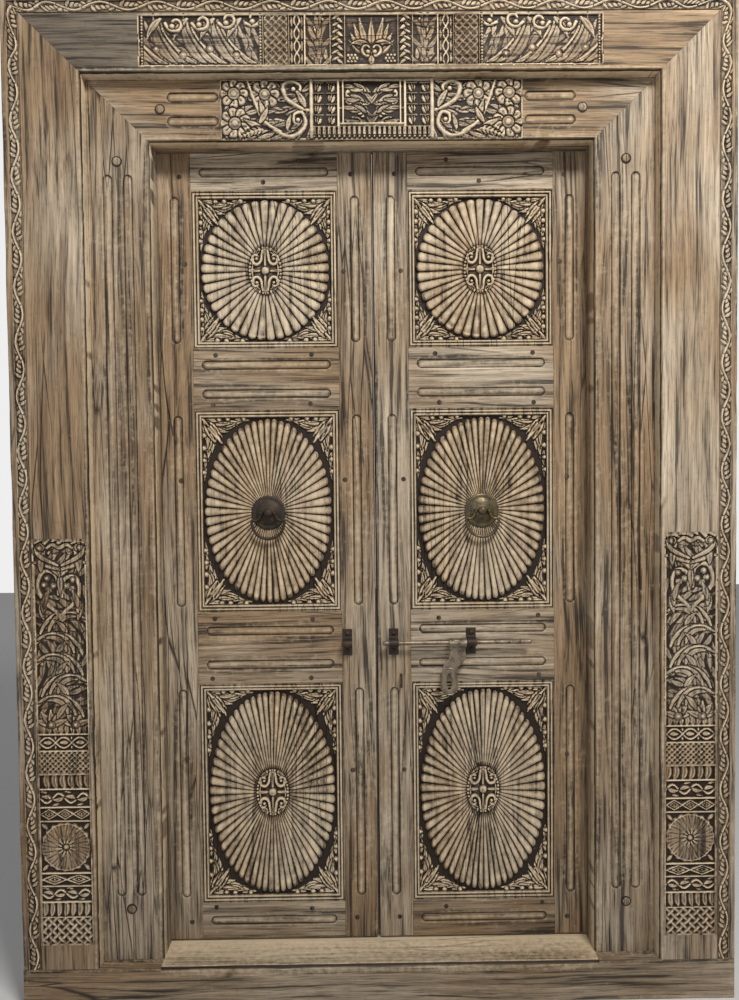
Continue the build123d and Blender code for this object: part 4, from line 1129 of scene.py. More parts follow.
def smooth(points, steps=6):
    """More points on the rounded line through a few."""
    p = np.asarray(points, float)
    ends = np.concatenate([[2 * p[0] - p[1]], p, [2 * p[-1] - p[-2]]])
    t = np.linspace(0, 1, steps, endpoint=False)[:, None]
    runs = []
    for a, b, c, d in zip(ends, ends[1:], ends[2:], ends[3:]):
        runs.append(0.5 * (2 * b + (c - a) * t + (2 * a - 5 * b + 4 * c - d) * t ** 2
                           + (3 * b - a - 3 * c + d) * t ** 3))
    return np.concatenate([*runs, p[-1:]])


def carve_jamb_bands(c):
    """The stack of carved bands at the foot of a jamb, and the plant above it."""
    ground = -size("depth")
    x0, x1 = CARVE_NEAR, CARVE_FAR
    c.sink(x0, BAND_LEVELS[0], x1, BAND_LEVELS[-1], -ground)
    share = np.clip((c.x - x0) / (x1 - x0), 0, 1)
    arch = PLANT_TOP - 44 * np.sin(pi * share) ** 0.6 * (0.75 + 0.25 * np.cos(6 * pi * share))
    edge = np.minimum.reduce([arch - c.z, c.x - x0, x1 - c.x, c.z - BAND_LEVELS[-1] + 3])
    c.h = np.minimum(c.h, ground * np.clip(edge / 1.5, 0, 1))
    levels = BAND_LEVELS
    inner0, inner1 = x0 + 4, x1 - 4
    gaps = [(low + 3, high - 3) for low, high in zip(levels, levels[1:])]
    jali(c, inner0, levels[0], inner1, levels[1], 21, ground)
    leaning_petals(c, inner0, gaps[1][0], inner1, gaps[1][1], 7, -0.5, ground)
    wave_vine(c, inner0, gaps[2][0], inner1, gaps[2][1], 2, ground)
    diamond_row(c, inner0, gaps[3][0], inner1, gaps[3][1], 2, ground)
    rosette(c, (x0 + x1) / 2, (gaps[4][0] + gaps[4][1]) / 2, 56, ground)
    diamond_row(c, inner0, gaps[5][0], inner1, gaps[5][1], 3, ground)
    wave_vine(c, inner0, gaps[6][0], inner1, gaps[6][1], 2, ground)
    leaning_petals(c, inner0, gaps[7][0], inner1, gaps[7][1], 6, 1, ground)
    jali(c, inner0, levels[8], inner1, levels[9], 13, ground * 0.75)
    ovals(c, inner0, gaps[9][0], inner1, gaps[9][1], 3, ground)
    middle = (x0 + x1) / 2
    small_leaves(c, inner0 + 3, levels[-1] + 26, inner1 - 3, PLANT_TOP - 10, 25,
                 lambda x, z: 90 + 58 * sin((z - levels[-1]) / 60) - 0.35 * (x - middle), -2.0, ground)
    jamb_foliage(c, inner0, inner1, levels[-1], ground)
    for z in levels:
        c.bar(x0, z, x1, z, 4.0, -0.3, ground)
    for x in (x0 + 1.5, x1 - 1.5):
        c.bar(x, levels[0], x, PLANT_TOP - 60, 3.6, -0.3, ground)
    c.h += 0.25 * noise(c.x, c.z, 9, 2) - 0.3


def add_jamb_carving(side):
    cell = size("cell")
    add_insert(f"{hand(side)}_jamb_carving", even_lines(*INSERT_X, cell), even_lines(*INSERT_Z, cell),
               carve_jamb_bands, side, along="Z")


def carve_lintel_row(c):
    """The carved panels of the outer lintel, the same to both sides of the middle plant."""
    ground = -size("depth")
    c.x = np.abs(c.x)
    z0, z1 = LINTEL_CARVE_LOW, LINTEL_CARVE_HIGH
    middle = (z0 + z1) / 2
    e = LINTEL_EDGES
    c.sink(-5, z0, e[-1], z1, -ground)
    for angle, length, x, bend in ((8, 58, 4, 46), (26, 66, 4, 40), (44, 78, 3, 34), (62, 88, 2, 22)):
        c.leaf(x, z0 + 30, length, 17, angle, bend, -1.0, ground, 0.5)
    c.leaf(0, z0 + 26, 84, 19, 90, 0, -0.3, ground, 0.5)
    c.leaf(2, z0 + 34, 56, 19, 64, -96, -0.4, ground, 0.5)
    c.curl(6, z0 + 22, 58, 10, 320, 8, -0.4, ground)
    for i in range(3):
        for k in range(3):
            c.boss(38 + 8 * i - 4 * (k % 2), z0 + 10 + 7 * k, 3.8, -0.8, ground)
    c.leaf(0, z0 + 4, 20, 16, 90, 0, -0.5, ground)
    for i in range(7):
        z = z0 + 4 + (z1 - z0 - 8) * i / 7
        c.leaf(e[0] + 4, z, 28, 8.5, 34, 20, -0.6, ground)
        c.leaf(e[1] - 4, z + 8, 24, 6.5, 146, 20, -1.0, ground)
    centre = (e[1] + e[2]) / 2
    stem = smooth([(e[1] + 9, z1 - 22), (centre - 8, z1 - 10), (centre + 10, z1 - 24), (centre - 4, middle),
                   (centre - 16, z0 + 34), (centre + 2, z0 + 13), (centre + 18, z0 + 30),
                   (centre + 6, z0 + 42)])
    c.stroke(stem, (2.6, 4.6, 5.4, 4.6, 2.6), -0.3, ground)
    c.leaf(e[1] + 8, z0 + 8, 62, 13, 82, -16, -0.8, ground)
    c.leaf(e[2] - 8, z1 - 8, 66, 14, -98, -16, -0.8, ground)
    c.boss(centre + 4, z0 + 28, 5, -0.6, ground)
    c.boss(centre + 1, z1 - 26, 4, -0.8, ground)
    for side in SIDES:
        x = (e[2] + e[3]) / 2
        line = np.linspace(z0 + 4, z1 - 4, 40)
        sway = 6.5 * np.sin((line - z0) / (z1 - z0) * 4 * pi) * side
        c.stroke(np.stack([x + sway, line], 1), (2.4, 2.4), -0.5, ground)
        for i in range(4):
            c.leaf(x + side * 12, z0 + 6 + 28 * i, 24, 7, 90, 0, -1.0, ground)
    c.sink(e[3] + 3, z0, e[4] - 3, z1, -ground * 1.5)
    jali(c, e[3] + 3, z0, e[4] - 3, z1, 18, ground * 1.5)
    small_leaves(c, e[4] + 16, z0 + 10, e[5] - 16, z1 - 8, 25,
                 lambda x, z: 52 + 20 * sin(x / 40), -2.2, ground)
    small_leaves(c, e[1] + 8, z0 + 12, e[2] - 8, z1 - 12, 22,
                 lambda x, z: 90 - (x - centre) * 2, -2.4, ground)
    for i in range(11):
        x = e[4] + 16 + 23 * i
        c.leaf(x, z0 + 6, 132, 20, 16 + 8 * (i % 3), 66, -0.4 - 1.0 * (i % 3), ground, 0.5)
    for i in range(4):
        x = e[4] + 40 + 62 * i
        c.curl(x, z1 - 20, 92, -150 + 12 * i, -360, 9, -0.2, ground)
        eye(c, x + 22, z0 + 26 + 14 * (i % 2), 8.5, -0.3, ground)
        c.leaf(x + 10, z1 - 8, 62, 17, -36, -40, -0.7, ground, 0.5)
    for k in range(16):
        c.boss(e[5] - 7, z0 + 6 + (z1 - z0 - 12) * k / 15, 3.2, -0.5, ground)
        c.boss(e[4] + 6, z0 + 6 + (z1 - z0 - 12) * k / 15, 3.0, -0.7, ground)
    for z in (z0 + 1, z1 - 1):
        c.bar(0, z, e[-1], z, 3.0, -0.3, ground)
    for x in e:
        c.bar(x, z0, x, z1, 3.6, -0.3, ground)
    c.h += 0.25 * noise(c.x, c.z, 9, 3) - 0.3


def add_lintel_carving():
    cell = size("cell")
    add_insert("lintel_carving", even_lines(-LINTEL_INSERT_X, LINTEL_INSERT_X, cell),
               even_lines(*LINTEL_INSERT_Z, cell), carve_lintel_row, back=POCKET * 1.2)


# Inner frame

FRAME_FLUTE_PITCH = 48
FLUTE_LOW, FLUTE_HIGH = 255, 2000
JAMB_FLUTE_X = (OPENING_X + 6 + REVEAL_X) / 2
LINTEL_FLUTES = (363, 487)
LINTEL_FLUTE_LEVELS = (2123, 2179)
inner_jamb_mitre = upright_mitre(OPENING_X, OPENING_Z, REVEAL_X, REVEAL_Z)
inner_head_mitre = level_mitre(OPENING_X, OPENING_Z, REVEAL_X, REVEAL_Z)


def narrow_jamb(points):
    """Draws the rim of an inner jamb back behind the rebate of its leaf."""
    wide = REVEAL_X - OPENING_X
    share = (REVEAL_X - np.abs(points[:, 0])) / wide
    points[:, 0] = np.sign(points[:, 0]) * (REVEAL_X - share * (wide - REBATE))
    return points


def narrow_head(points):
    """Draws the rim of the inner lintel back in the same way."""
    share = (REVEAL_Z - points[:, 2]) / (REVEAL_Z - OPENING_Z)
    points[:, 2] = REVEAL_Z - share * (REVEAL_Z - OPENING_Z - REBATE)
    return points


def add_inner_jamb(side):
    def carve(c):
        hewn(c, 13 + side, 0.5)
        chamfer(c, c.x - OPENING_X)
        worn_edges(c, OPENING_X, -BEYOND, REVEAL_X, BEYOND, 3.2, 8 + side)
        worn_edges(c, -BEYOND, SILL_TOP, BEYOND, REVEAL_Z, 1.0, 9)
        for way in SIDES:
            flute(c, JAMB_FLUTE_X + way * FRAME_FLUTE_PITCH / 2, (FLUTE_LOW + FLUTE_HIGH) / 2,
                  FLUTE_HIGH - FLUTE_LOW, True)

    us = lines(OPENING_X, REVEAL_X, 9, [*edge_lines(OPENING_X, REVEAL_X), OPENING_X + CHAMFER,
                                        *flute_lines(JAMB_FLUTE_X - FRAME_FLUTE_PITCH / 2),
                                        *flute_lines(JAMB_FLUTE_X + FRAME_FLUTE_PITCH / 2)])
    vs = lines(SILL_TOP, REVEAL_Z, 15, [*edge_lines(SILL_TOP, REVEAL_Z),
                                        *flute_end_lines(FLUTE_LOW, FLUTE_HIGH)])
    stages = [(REBATE_FACE, None), (REBATE_FACE, narrow_jamb), (FRAME_BACK, None)]
    obj = board(mirrored_lines(us, side), vs, INNER_FACE, stages, carve, side, inner_jamb_mitre)
    name = hand(side)
    dress(obj, f"{name}_inner_jamb_board", "frame", jamb_teak(), [f"{name}_inner_jamb"])


def add_inner_lintel():
    def carve(c):
        hewn(c, 17, 0.45)
        chamfer(c, c.z - OPENING_Z)
        worn_edges(c, -BEYOND, OPENING_Z, BEYOND, REVEAL_Z, 3.2, 10)
        worn_edges(c, -REVEAL_X, -BEYOND, REVEAL_X, BEYOND, 1.0, 11)
        for way in SIDES:
            for z in LINTEL_FLUTE_LEVELS:
                flute(c, way * sum(LINTEL_FLUTES) / 2, z, LINTEL_FLUTES[1] - LINTEL_FLUTES[0], False)

    near, far = LINTEL_FLUTES
    us = lines(-REVEAL_X, REVEAL_X, 15, [*edge_lines(-REVEAL_X, REVEAL_X), *flute_end_lines(near, far),
                                         *flute_end_lines(-far, -near)])
    vs = lines(OPENING_Z, REVEAL_Z, 9, [*edge_lines(OPENING_Z, REVEAL_Z), OPENING_Z + CHAMFER,
                                        *[v for z in LINTEL_FLUTE_LEVELS for v in flute_lines(z)]])
    stages = [(REBATE_FACE, None), (REBATE_FACE, narrow_head), (FRAME_BACK, None)]
    obj = board(us, vs, INNER_FACE, stages, carve, 1, inner_head_mitre)
    dress(obj, "inner_lintel_board", "frame", wood("lintel_teak", "X", seed=2),
          ["inner_lintel"])


def carve_block(c):
    """Flowers and scrolls at the sides, columns of small buds, and a framed scroll over a fringe."""
    ground = -7.5
    c.x = np.abs(c.x)
    z0, z1 = BLOCK_LOW, BLOCK_HIGH
    near, column, far = BLOCK_PANELS
    top = -0.6
    c.h = np.full_like(c.x, ground)
    worn = 2.0 * np.abs(noise(c.x, c.z, 23, 6))
    foot = z0 + BLOCK_FRINGE
    for i in range(12):
        x = column * 2 * (i + 0.5) / 24
        c.stroke(((x, foot - 3), (x, z0 + 5)), (4.2, 5.0, 4.4), top - 0.4, ground, 0.5)
        c.boss(x, z0 + 5, 3.4, top, ground)
    rows = 4
    tall = (z1 - 8 - foot - 3) / rows
    for i in range(2):
        x = near + (column - near) * (i + 0.5) / 2
        for k in range(rows):
            z = foot + 3 + tall * k
            for lean in (-34, 0, 34):
                c.leaf(x, z + 2, tall * 0.86, 7.5, 90 + lean, -lean * 0.9, top - 0.3, ground, 0.4)
            c.bar(x - 13, z + tall - 1.2, x + 13, z + tall - 1.2, 2.2, top - 1.2, ground)
    middle = (foot + z1) / 2 + 4
    scroll = smooth([(-4, 4), (18, 20), (40, 30), (58, 18), (50, 2), (34, 4)])
    c.stroke(scroll + (0, middle), (4.0, 5.4, 5.2, 3.2), top, ground)
    c.boss(42, middle + 12, 6.5, top, ground)
    acanthus(c, 6, middle - 30, 66, 19, 8, 40, top - 0.4, ground, 5)
    c.leaf(0, middle + 2, 40, 14, -40, 60, top - 0.6, ground)
    c.leaf(60, z1 - 14, 34, 12, -170, 20, top - 0.6, ground)
    c.boss(16, middle - 18, 6, top - 0.3, ground)
    small_leaves(c, column + 8, z0 + 10, far - 6, z1 - 6, 27,
                 lambda x, z: 90 + 70 * sin((x - column) / 60) + (z - z0) * 0.3, -2.4, ground)
    small_leaves(c, 8, foot + 16, near - 18, z1 - 14, 24, lambda x, z: 60 - x, -2.4, ground)
    c.flower(far - 33, z1 - 34, 32, 8, top, ground, 0.4)
    c.flower(far - 35, z0 + 37, 35, 9, top, ground, 0.38)
    c.flower(far - 106, z1 - 36, 33, 8, top - 0.4, ground, 0.36)
    c.stroke(smooth([(column + 74, z0 + 16), (column + 110, z0 + 40), (far - 84, z1 - 58),
                     (far - 66, z1 - 6)]), (5, 5, 4, 3), top, ground)
    c.leaf(far - 112, z0 + 44, 52, 17, 58, 24, top - 0.3, ground)
    c.leaf(far - 92, z0 + 36, 46, 15, 128, -20, top - 0.5, ground)
    c.leaf(far - 96, z0 + 30, 46, 15, 8, 30, top - 0.4, ground)
    acanthus(c, far - 100, z0 + 22, 58, 17, -8, -26, top - 0.4, ground, 5)
    c.stroke(smooth([(column + 86, z0 + 20), (column + 60, z0 + 6), (column + 34, z0 + 10),
                     (column + 14, z0 + 34), (column + 22, z0 + 60), (column + 40, z0 + 56),
                     (column + 40, z0 + 38), (column + 30, z0 + 36)]), (5, 6, 5.4, 4.6, 3), top, ground)
    c.boss(column + 32, z0 + 44, 6, top, ground)
    c.stroke(smooth([(column + 8, z0 + 66), (column + 30, z0 + 74), (column + 58, z1 - 46),
                     (column + 66, z1 - 18), (column + 46, z1 - 7), (column + 26, z1 - 18),
                     (column + 30, z1 - 34)]), (4, 6, 6.4, 5, 3.4), top, ground)
    c.leaf(column + 14, z0 + 72, 52, 17, 72, -24, top - 0.5, ground)
    c.boss(column + 42, z1 - 24, 6, top - 0.2, ground)
    c.leaf(column + 58, z0 + 20, 40, 13, 96, 20, top - 0.8, ground)
    c.bar(column, z0, column, z1, 9, top, ground)
    c.bar(0, foot, column, foot, 4, top, ground)
    c.bar(near, foot, near, z1 - 3, 6, top, ground)
    c.bar(0, foot + 6, near, foot + 6, 5, top, ground)
    c.bar(near - 11, foot + 6, near - 11, z1 - 3, 3, top, ground)
    c.bar(0, z1 - 4, column, z1 - 4, 6, top - 0.8, ground)
    c.h -= np.where(c.h > ground + 1, worn * 0.5, 0)
    edge = np.minimum.reduce([c.z - z0, z1 - c.z, far - c.x])
    c.h -= 2.5 * np.clip(1 - edge / 4, 0, 1) ** 2


def add_lintel_block():
    cell = size("cell")
    add_insert("lintel_block", even_lines(-BLOCK_HALF, BLOCK_HALF, cell, 0),
               even_lines(BLOCK_LOW, BLOCK_HIGH, cell, 0), carve_block, face=head_low[1],
               back=INNER_FACE + BLOCK_ROOT)


# Leaves

LEAF_RAILS = ("bottom_rail", "lower_rail", "upper_rail", "top_rail")
PANEL_NAMES = ("bottom", "middle", "top")


def rail_span(name):
    """The levels between which a rail's plain face lies."""
    low, high = box(f"right_{name}")
    return (low[2] + (MOULDING if name != "bottom_rail" else 0),
            high[2] - (MOULDING if name != "top_rail" else 0))


RAIL_SPANS = {name: rail_span(name) for name in LEAF_RAILS}
OPENING_SPANS = [(RAIL_SPANS[a][1], RAIL_SPANS[b][0]) for a, b in zip(LEAF_RAILS, LEAF_RAILS[1:])]
STILE_FLUTE_INSET = 13
RAIL_FLUTE_INSET = 20
RAIL_FLUTE_SHARE = 0.235
LIP_DEPTH = 10
LIP_GAP = 0.35


def lipped(points):
    """Carries the meeting edge out to a lip at the back, which nearly meets the other leaf's."""
    near = np.abs(points[:, 0]) < STILE_NEAR + 0.5
    points[near, 0] = np.sign(points[near, 0]) * LIP_GAP
    return points


def add_stile(side, kind):
    near, far = (STILE_NEAR, PANEL_NEAR) if kind == "meeting" else (PANEL_FAR, STILE_FAR)
    middle = (near + far) / 2 if kind == "meeting" else (PANEL_FAR + OPENING_X) / 2
    runs = [(low + STILE_FLUTE_INSET, high - STILE_FLUTE_INSET) for low, high in OPENING_SPANS]

    def carve(c):
        hewn(c, 23 + side + near, 0.3)
        worn_edges(c, near, -BEYOND, BEYOND, BEYOND, 3.4 if kind == "meeting" else 1.6, 12)
        worn_edges(c, -BEYOND, -BEYOND, far, BEYOND, 1.6, 12)
        worn_edges(c, -BEYOND, LEAF_LOW, BEYOND, LEAF_HIGH, 2.5, 13)
        for low, high in runs:
            flute(c, middle, (low + high) / 2, high - low, True)

    ends = [z for run in runs for z in flute_end_lines(*run)]
    us = lines(near, far, 10, [*edge_lines(near, far), *flute_lines(middle)])
    vs = lines(LEAF_LOW, LEAF_HIGH, 22, [*edge_lines(LEAF_LOW, LEAF_HIGH), *ends])
    stages = [(LEAF_BACK, None)]
    if kind == "meeting":
        stages = [(LEAF_BACK - LIP_DEPTH, None), (LEAF_BACK - LIP_DEPTH, lipped), (LEAF_BACK, None)]
    # Their sides take a darker tone than the usual: more soiling with painted shade
    obj = board(mirrored_lines(us, side), vs, LEAF_FACE, stages, carve, side, wall=0.8)
    name = hand(side)
    dress(obj, f"{name}_{kind}_stile_board", f"{name}_leaf", leaf_teak(),
          [f"{name}_{kind}_stile"])


def add_rail(side, rail_name):
    low, high = RAIL_SPANS[rail_name]
    run = PANEL_FAR - PANEL_NEAR - 2 * RAIL_FLUTE_INSET
    outer = rail_name in ("bottom_rail", "top_rail")
    centre = (low + min(high, OPENING_Z)) / 2
    apart = (high - low) * RAIL_FLUTE_SHARE
    levels = (centre,) if outer else (centre - apart, centre + apart)

    def carve(c):
        hewn(c, 31 + side + low, 0.3)
        worn_edges(c, PANEL_NEAR, low, PANEL_FAR, high, 1.4, 14)
        for level in levels:
            flute(c, PANEL_MIDDLE, level, run, False)

    ends = flute_end_lines(PANEL_MIDDLE - run / 2, PANEL_MIDDLE + run / 2)
    us = lines(PANEL_NEAR, PANEL_FAR, 18, [*edge_lines(PANEL_NEAR, PANEL_FAR), *ends])
    flutes = [z for level in levels for z in flute_lines(level)]
    vs = lines(low, high, 10, [*edge_lines(low, high), *flutes])
    obj = board(mirrored_lines(us, side), vs, LEAF_FACE, [(LEAF_BACK, None)], carve, side)
    name = hand(side)
    dress(obj, f"{name}_{rail_name}_board", f"{name}_leaf", wood("leaf_teak_level", "X", seed=7),
          [f"{name}_{rail_name}"])


# Section of the stuck moulding: how far in from the edge of the rail, how deep, and its cut tone, which
# lays soiling with painted shade in the grooves and rubbed wood with a painted highlight on the beads
MOULDING_SECTION = ((0, 0.7, 0.8), (0.8, 0.2, 0.4), (2.0, 0.5, 0.5), (2.8, 3.0, 1.0), (3.8, 3.2, 1.0),
                    (4.6, 1.2, 0.5), (6.2, 0.3, 0.25), (8.0, 0.3, 0.25), (9.6, 1.4, 0.5), (10.4, 4.2, 1.0),
                    (11.4, 4.6, 1.0), (12.2, 3.2, 0.5), (13.8, 2.2, 0.25), (15.8, 2.5, 0.25),
                    (17.2, 4.2, 0.5), (18.2, 7.4, 0.8), (18.9, 10.4, 1.0), (19.2, 13.4, 1.0),
                    (16.0, 14.0, 1.0), (16.0, 40.0, 1.0), (0, 40.0, 0.8), (0, 0.7, 0.8))


def add_moulding(side, panel_name, low, high):
    rows, dirt_and_painted_light = [], []
    for inset, depth, grey in MOULDING_SECTION:
        x0, x1, z0, z1 = PANEL_NEAR + inset, PANEL_FAR - inset, low + inset, high - inset
        corners = [(x0, z0), (x1, z0), (x1, z1), (x0, z1), (x0, z0)]
        rows.append([(side * x, LEAF_FACE + depth, z) for x, z in corners])
        dirt_and_painted_light += [grey] * len(corners)
    obj = sheet(np.array(rows))
    paint(obj, "cut", np.array(dirt_and_painted_light))
    merge(obj)
    name = hand(side)
    dress(obj, f"{name}_{panel_name}_moulding", f"{name}_leaf", leaf_teak(), angle=35)


# Sunburst panels

RAY_HEIGHT = 9
RAY_SAMPLES = 8
HUB_X, HUB_Z = 42, 60
PLAIN_HUB = 20
RAY_COUNTS = {"bottom": 61, "middle": 56, "top": 41}
BURST_MARGIN_X, BURST_MARGIN_Z = 5, 4.5
PANEL_THICKNESS = 16
# How far the board behind the disc reaches under the moulding
TUCK = 0.4
PANEL_GROUND = LEAF_FACE + 13


def ellipse(cx, cz, rx, rz, turn):
    """Places on an ellipse, counted in turns clockwise from the top."""
    return cx + rx * np.sin(2 * pi * turn), cz + rz * np.cos(2 * pi * turn)


def add_disc(panel_name, cx, cz, rx, rz):
    """The rayed disc: rounded rays that widen from the hub, with narrow valleys between them."""
    rays = RAY_COUNTS[panel_name]
    hub_x, hub_z = (PLAIN_HUB, PLAIN_HUB) if panel_name == "middle" else (HUB_X - 2, HUB_Z - 2)
    turns = np.arange(rays * RAY_SAMPLES + 1) / (rays * RAY_SAMPLES)
    across = 2 * np.mod(turns * rays + 0.5, 1.0) - 1
    across = np.sign(across) * np.abs(across) ** 0.6
    turns = (np.floor(turns * rays + 0.5) + across / 2) / rays
    along = (0, 0.02, 0.08, 0.18, 0.32, 0.48, 0.64, 0.78, 0.88, 0.94, 0.975, 0.992, 1.0)
    wander = 1 + 0.004 * np.sin(2 * pi * turns * 7) + 0.003 * np.sin(2 * pi * turns * 23)
    rows, heights = [], []
    for f in along:
        reach = f * (1 - 0.045 * across ** 2 * f ** 6) * wander
        hx, hz = ellipse(cx, cz, hub_x, hub_z, turns)
        ox, oz = ellipse(cx, cz, rx, rz, turns)
        depth = 3.4 + 4.0 * f
        drop = depth * (1 - np.sqrt(np.clip(1 - np.abs(across) ** 2.9, 0, 1)))
        lip = 0.7 * np.exp(-((f - 0.95) / 0.05) ** 2)
        tip = 7.5 * np.clip((f - 0.985) / 0.015, 0, 1) ** 2
        root = 5.5 * np.clip(1 - f / 0.05, 0, 1)
        height = RAY_HEIGHT - 0.5 - drop + lip - tip - root
        rows.append((hx + (ox - hx) * reach, hz + (oz - hz) * reach))
        heights.append(np.maximum(height, 0.8))
    centre = np.full_like(turns, cx), np.full_like(turns, cz)
    flat = np.full_like(turns, 0.5)
    rows = [centre, rows[0], *rows, rows[-1], centre]
    heights = [flat, flat, *heights, flat - 1.5, flat - 1.5]
    x, z = np.array([r[0] for r in rows]), np.array([r[1] for r in rows])
    h = np.array(heights)
    obj = sheet(np.stack([x, PANEL_GROUND - h, z], 2))
    # The tone lays soiling with painted shade in the valleys, at the root and round the rim, and rubbed
    # wood with a painted highlight on the crests of the rays
    out = np.clip(np.linspace(-0.15, 1, len(h)), 0, 1)[:, None]
    seed = noise(np.floor(turns * rays + 0.5) * 3.7, out * 30, 1.0, rays)
    tone = 0.37 - 0.09 * out + 0.1 * seed + 0.16 * across ** 2 + (0.56 - 0.06 * out) * np.abs(across) ** 5.5
    tone[-5:-3] += 0.16
    tone[-3:] = tone[:3] = 1
    tone[3] += 0.3
    paint(obj, "cut", np.clip(tone, 0, 1).ravel())
    merge(obj)
    return obj


# Leaves in the corner of a field: place from the corner, length, heading, bend and width. Those along
# the upright edge are set out for a field of this half height.
LEAVES_HALF_HEIGHT = 77 / 0.29
LEVEL_LEAVES = ((86, 6, 36, 16, -24, 10), (62, 20, 40, 6, -26, 12), (66, 10, 38, 30, -52, 12),
                (44, 24, 42, 20, -44, 13), (44, 14, 46, 34, -64, 14), (26, 26, 44, 26, -20, 13),
                (22, 14, 58, 12, -22, 15), (8, 7, 50, 2, 6, 11))
UPRIGHT_LEAVES = ((6, 132, 40, 80, 20, 9), (6, 102, 40, 76, 24, 10), (16, 82, 40, 78, 26, 11),
                  (11, 72, 44, 60, 50, 12), (22, 56, 42, 70, 30, 13), (13, 44, 50, 56, 60, 14),
                  (24, 32, 44, 66, 20, 13), (12, 22, 62, 76, 24, 15), (7, 8, 52, 90, -8, 11))


def corner_foliage(c, cx, cz, half_x, half_z):
    """Leaves that fan out of each corner of a field and lie along its edges, with ringed berries."""
    reach_x, reach_z = half_x - np.abs(c.x - cx), half_z - np.abs(c.z - cz)
    c.x, c.z = reach_x, reach_z
    top, ground = 7.2, 0.0
    slant = half_z / LEAVES_HALF_HEIGHT
    for leaves, share in ((LEVEL_LEAVES, 1), (UPRIGHT_LEAVES, slant)):
        for x, z, length, angle, bend, width in leaves:
            c.leaf(x, z * share, length, width, angle, bend, top - 0.8, ground, 0.55)
    for angle, length, bend in ((30, 62, 26), (74, 66, -22), (50, 78, 6)):
        c.leaf(7, 9, length, 15, angle, bend, top, ground, 0.55)
    c.stroke(arc(1, 2, 26, 50), (2.6, 3.4, 2.4), top + 0.4, ground, moat=1.8)
    for x, z in ((44, 7), (66, 6), (106, 5), (7, 52), (6, 88), (6, 122), (5, 156)):
        eye(c, x, z * (slant if z > 20 else 1), 6.6, top, ground)
    edge = np.minimum(reach_x, reach_z)
    c.h -= 0.8 * np.clip(1 - edge / 2, 0, 1)


def add_field(cx, cz, half_x, half_z, rx, rz):
    """The board behind the disc, carved in its corners."""
    first, last = 0.055, 0.195
    quarter = np.unique(np.concatenate([np.linspace(0, first, 9), np.linspace(first, last, 78),
                                        np.linspace(last, 0.25, 9)]))[:-1]
    turns = np.concatenate([quarter, quarter + 0.25, quarter + 0.5, quarter + 0.75, [1.0]])
    sine, cosine = np.sin(2 * pi * turns), np.cos(2 * pi * turns)
    wide = np.maximum(np.abs(sine), np.abs(cosine))
    edge_x, edge_z = half_x * sine / wide, half_z * cosine / wide
    rim_x, rim_z = rx * sine, rz * cosine
    rings = 36
    rows = [(0, 0), (0.55, 0), (0.93, 0)] + [(1.0, k / rings) for k in range(rings + 1)]
    x = np.array([a * rim_x * (1 - b) + edge_x * b for a, b in rows]) + cx
    z = np.array([a * rim_z * (1 - b) + edge_z * b for a, b in rows]) + cz
    c = Carving(x, z)
    corner_foliage(c, cx, cz, half_x, half_z)
    height = c.h.reshape(x.shape)
    height[:3] = 0
    obj = sheet(np.stack([x, PANEL_GROUND - height, z], 2))
    # The tone lays soiling with painted shade on the low ground between the leaves, and rubbed wood with a
    # painted highlight on their ridges
    tone = np.clip(cut_tone(height[3:] - 3.2, 3, True) + 0.28 * (height[3:] < 1.2), 0, 1)
    paint(obj, "cut", np.concatenate([np.ones((3, x.shape[1])), tone]).ravel())
    merge(obj)
    close_back(obj, [(PANEL_GROUND + PANEL_THICKNESS, None)])
    plain_back(obj)
    return obj


def add_hub(cx, cz):
    """An oval of C scrolls and bars round a boss, inside a beaded ring."""
    cells_x, cells_z = 48, 66

    def oval(u, v):
        return (cx + HUB_X * u * np.sqrt(1 - v ** 2 / 2), cz + HUB_Z * v * np.sqrt(1 - u ** 2 / 2))

    u, v = np.meshgrid(np.linspace(-1, 1, cells_x + 1), np.linspace(-1, 1, cells_z + 1))
    x, z = oval(u, v)
    c = Carving(np.abs(x - cx), np.abs(z - cz))
    ground, top = 1.6, RAY_HEIGHT + 0.8
    c.h[:] = ground
    turn = np.linspace(-0.05, 0.3, 40)
    for inset, width in ((3.2, 3.0), (9.5, 1.3)):
        ring_x, ring_z = ellipse(0, 0, HUB_X - inset, HUB_Z - inset, turn)
        c.stroke(np.stack([ring_x, ring_z], 1), (width, width), top - (0.8 if inset > 5 else 0.2), ground)
    for i in range(11):
        bead_x, bead_z = ellipse(0, 0, HUB_X - 3.4, HUB_Z - 3.4, i / 40)
        c.boss(bead_x, bead_z, 3.3, top + 0.7, ground)
    c.boss(0, 0, 10.5, top + 1.2, ground)
    c.stroke(((0, 13), (0, HUB_Z - 8)), (2.2, 3.4, 4.6), top - 1.2, ground, 0.5)
    c.stroke(((13, 0), (HUB_X - 6, 0)), (2.0, 3.0, 4.4), top - 1.2, ground, 0.5)
    c.stroke(smooth([(6, 50), (8, 38), (10, 25), (17, 16.5), (26, 17), (31.5, 25), (30, 35), (23.5, 39),
                     (19, 34), (21, 28)]), (3.0, 3.6, 4.0, 3.8, 3.4, 2.6), top, ground, 0.25)
    c.boss(21.5, 29.5, 4.0, top - 0.4, ground)
    c.leaf(31, 41, 13, 6, 128, 20, top - 1.5, ground)
    c.leaf(12, 48, 12, 6, 60, 20, top - 1.5, ground)
    height = c.h.reshape(x.shape)
    obj = sheet(np.stack([x, PANEL_GROUND - height, z], 2))
    # The tone lays soiling with painted shade in the hollows of the scrolls, and rubbed wood with a painted
    # highlight on their tops
    tone = cut_tone(height - 6.5, 2).ravel()
    close_back(obj, [(PANEL_GROUND - 0.8, None)])
    paint(obj, "cut", np.concatenate([tone, np.ones(len(obj.data.vertices) - len(tone))]))
    return obj


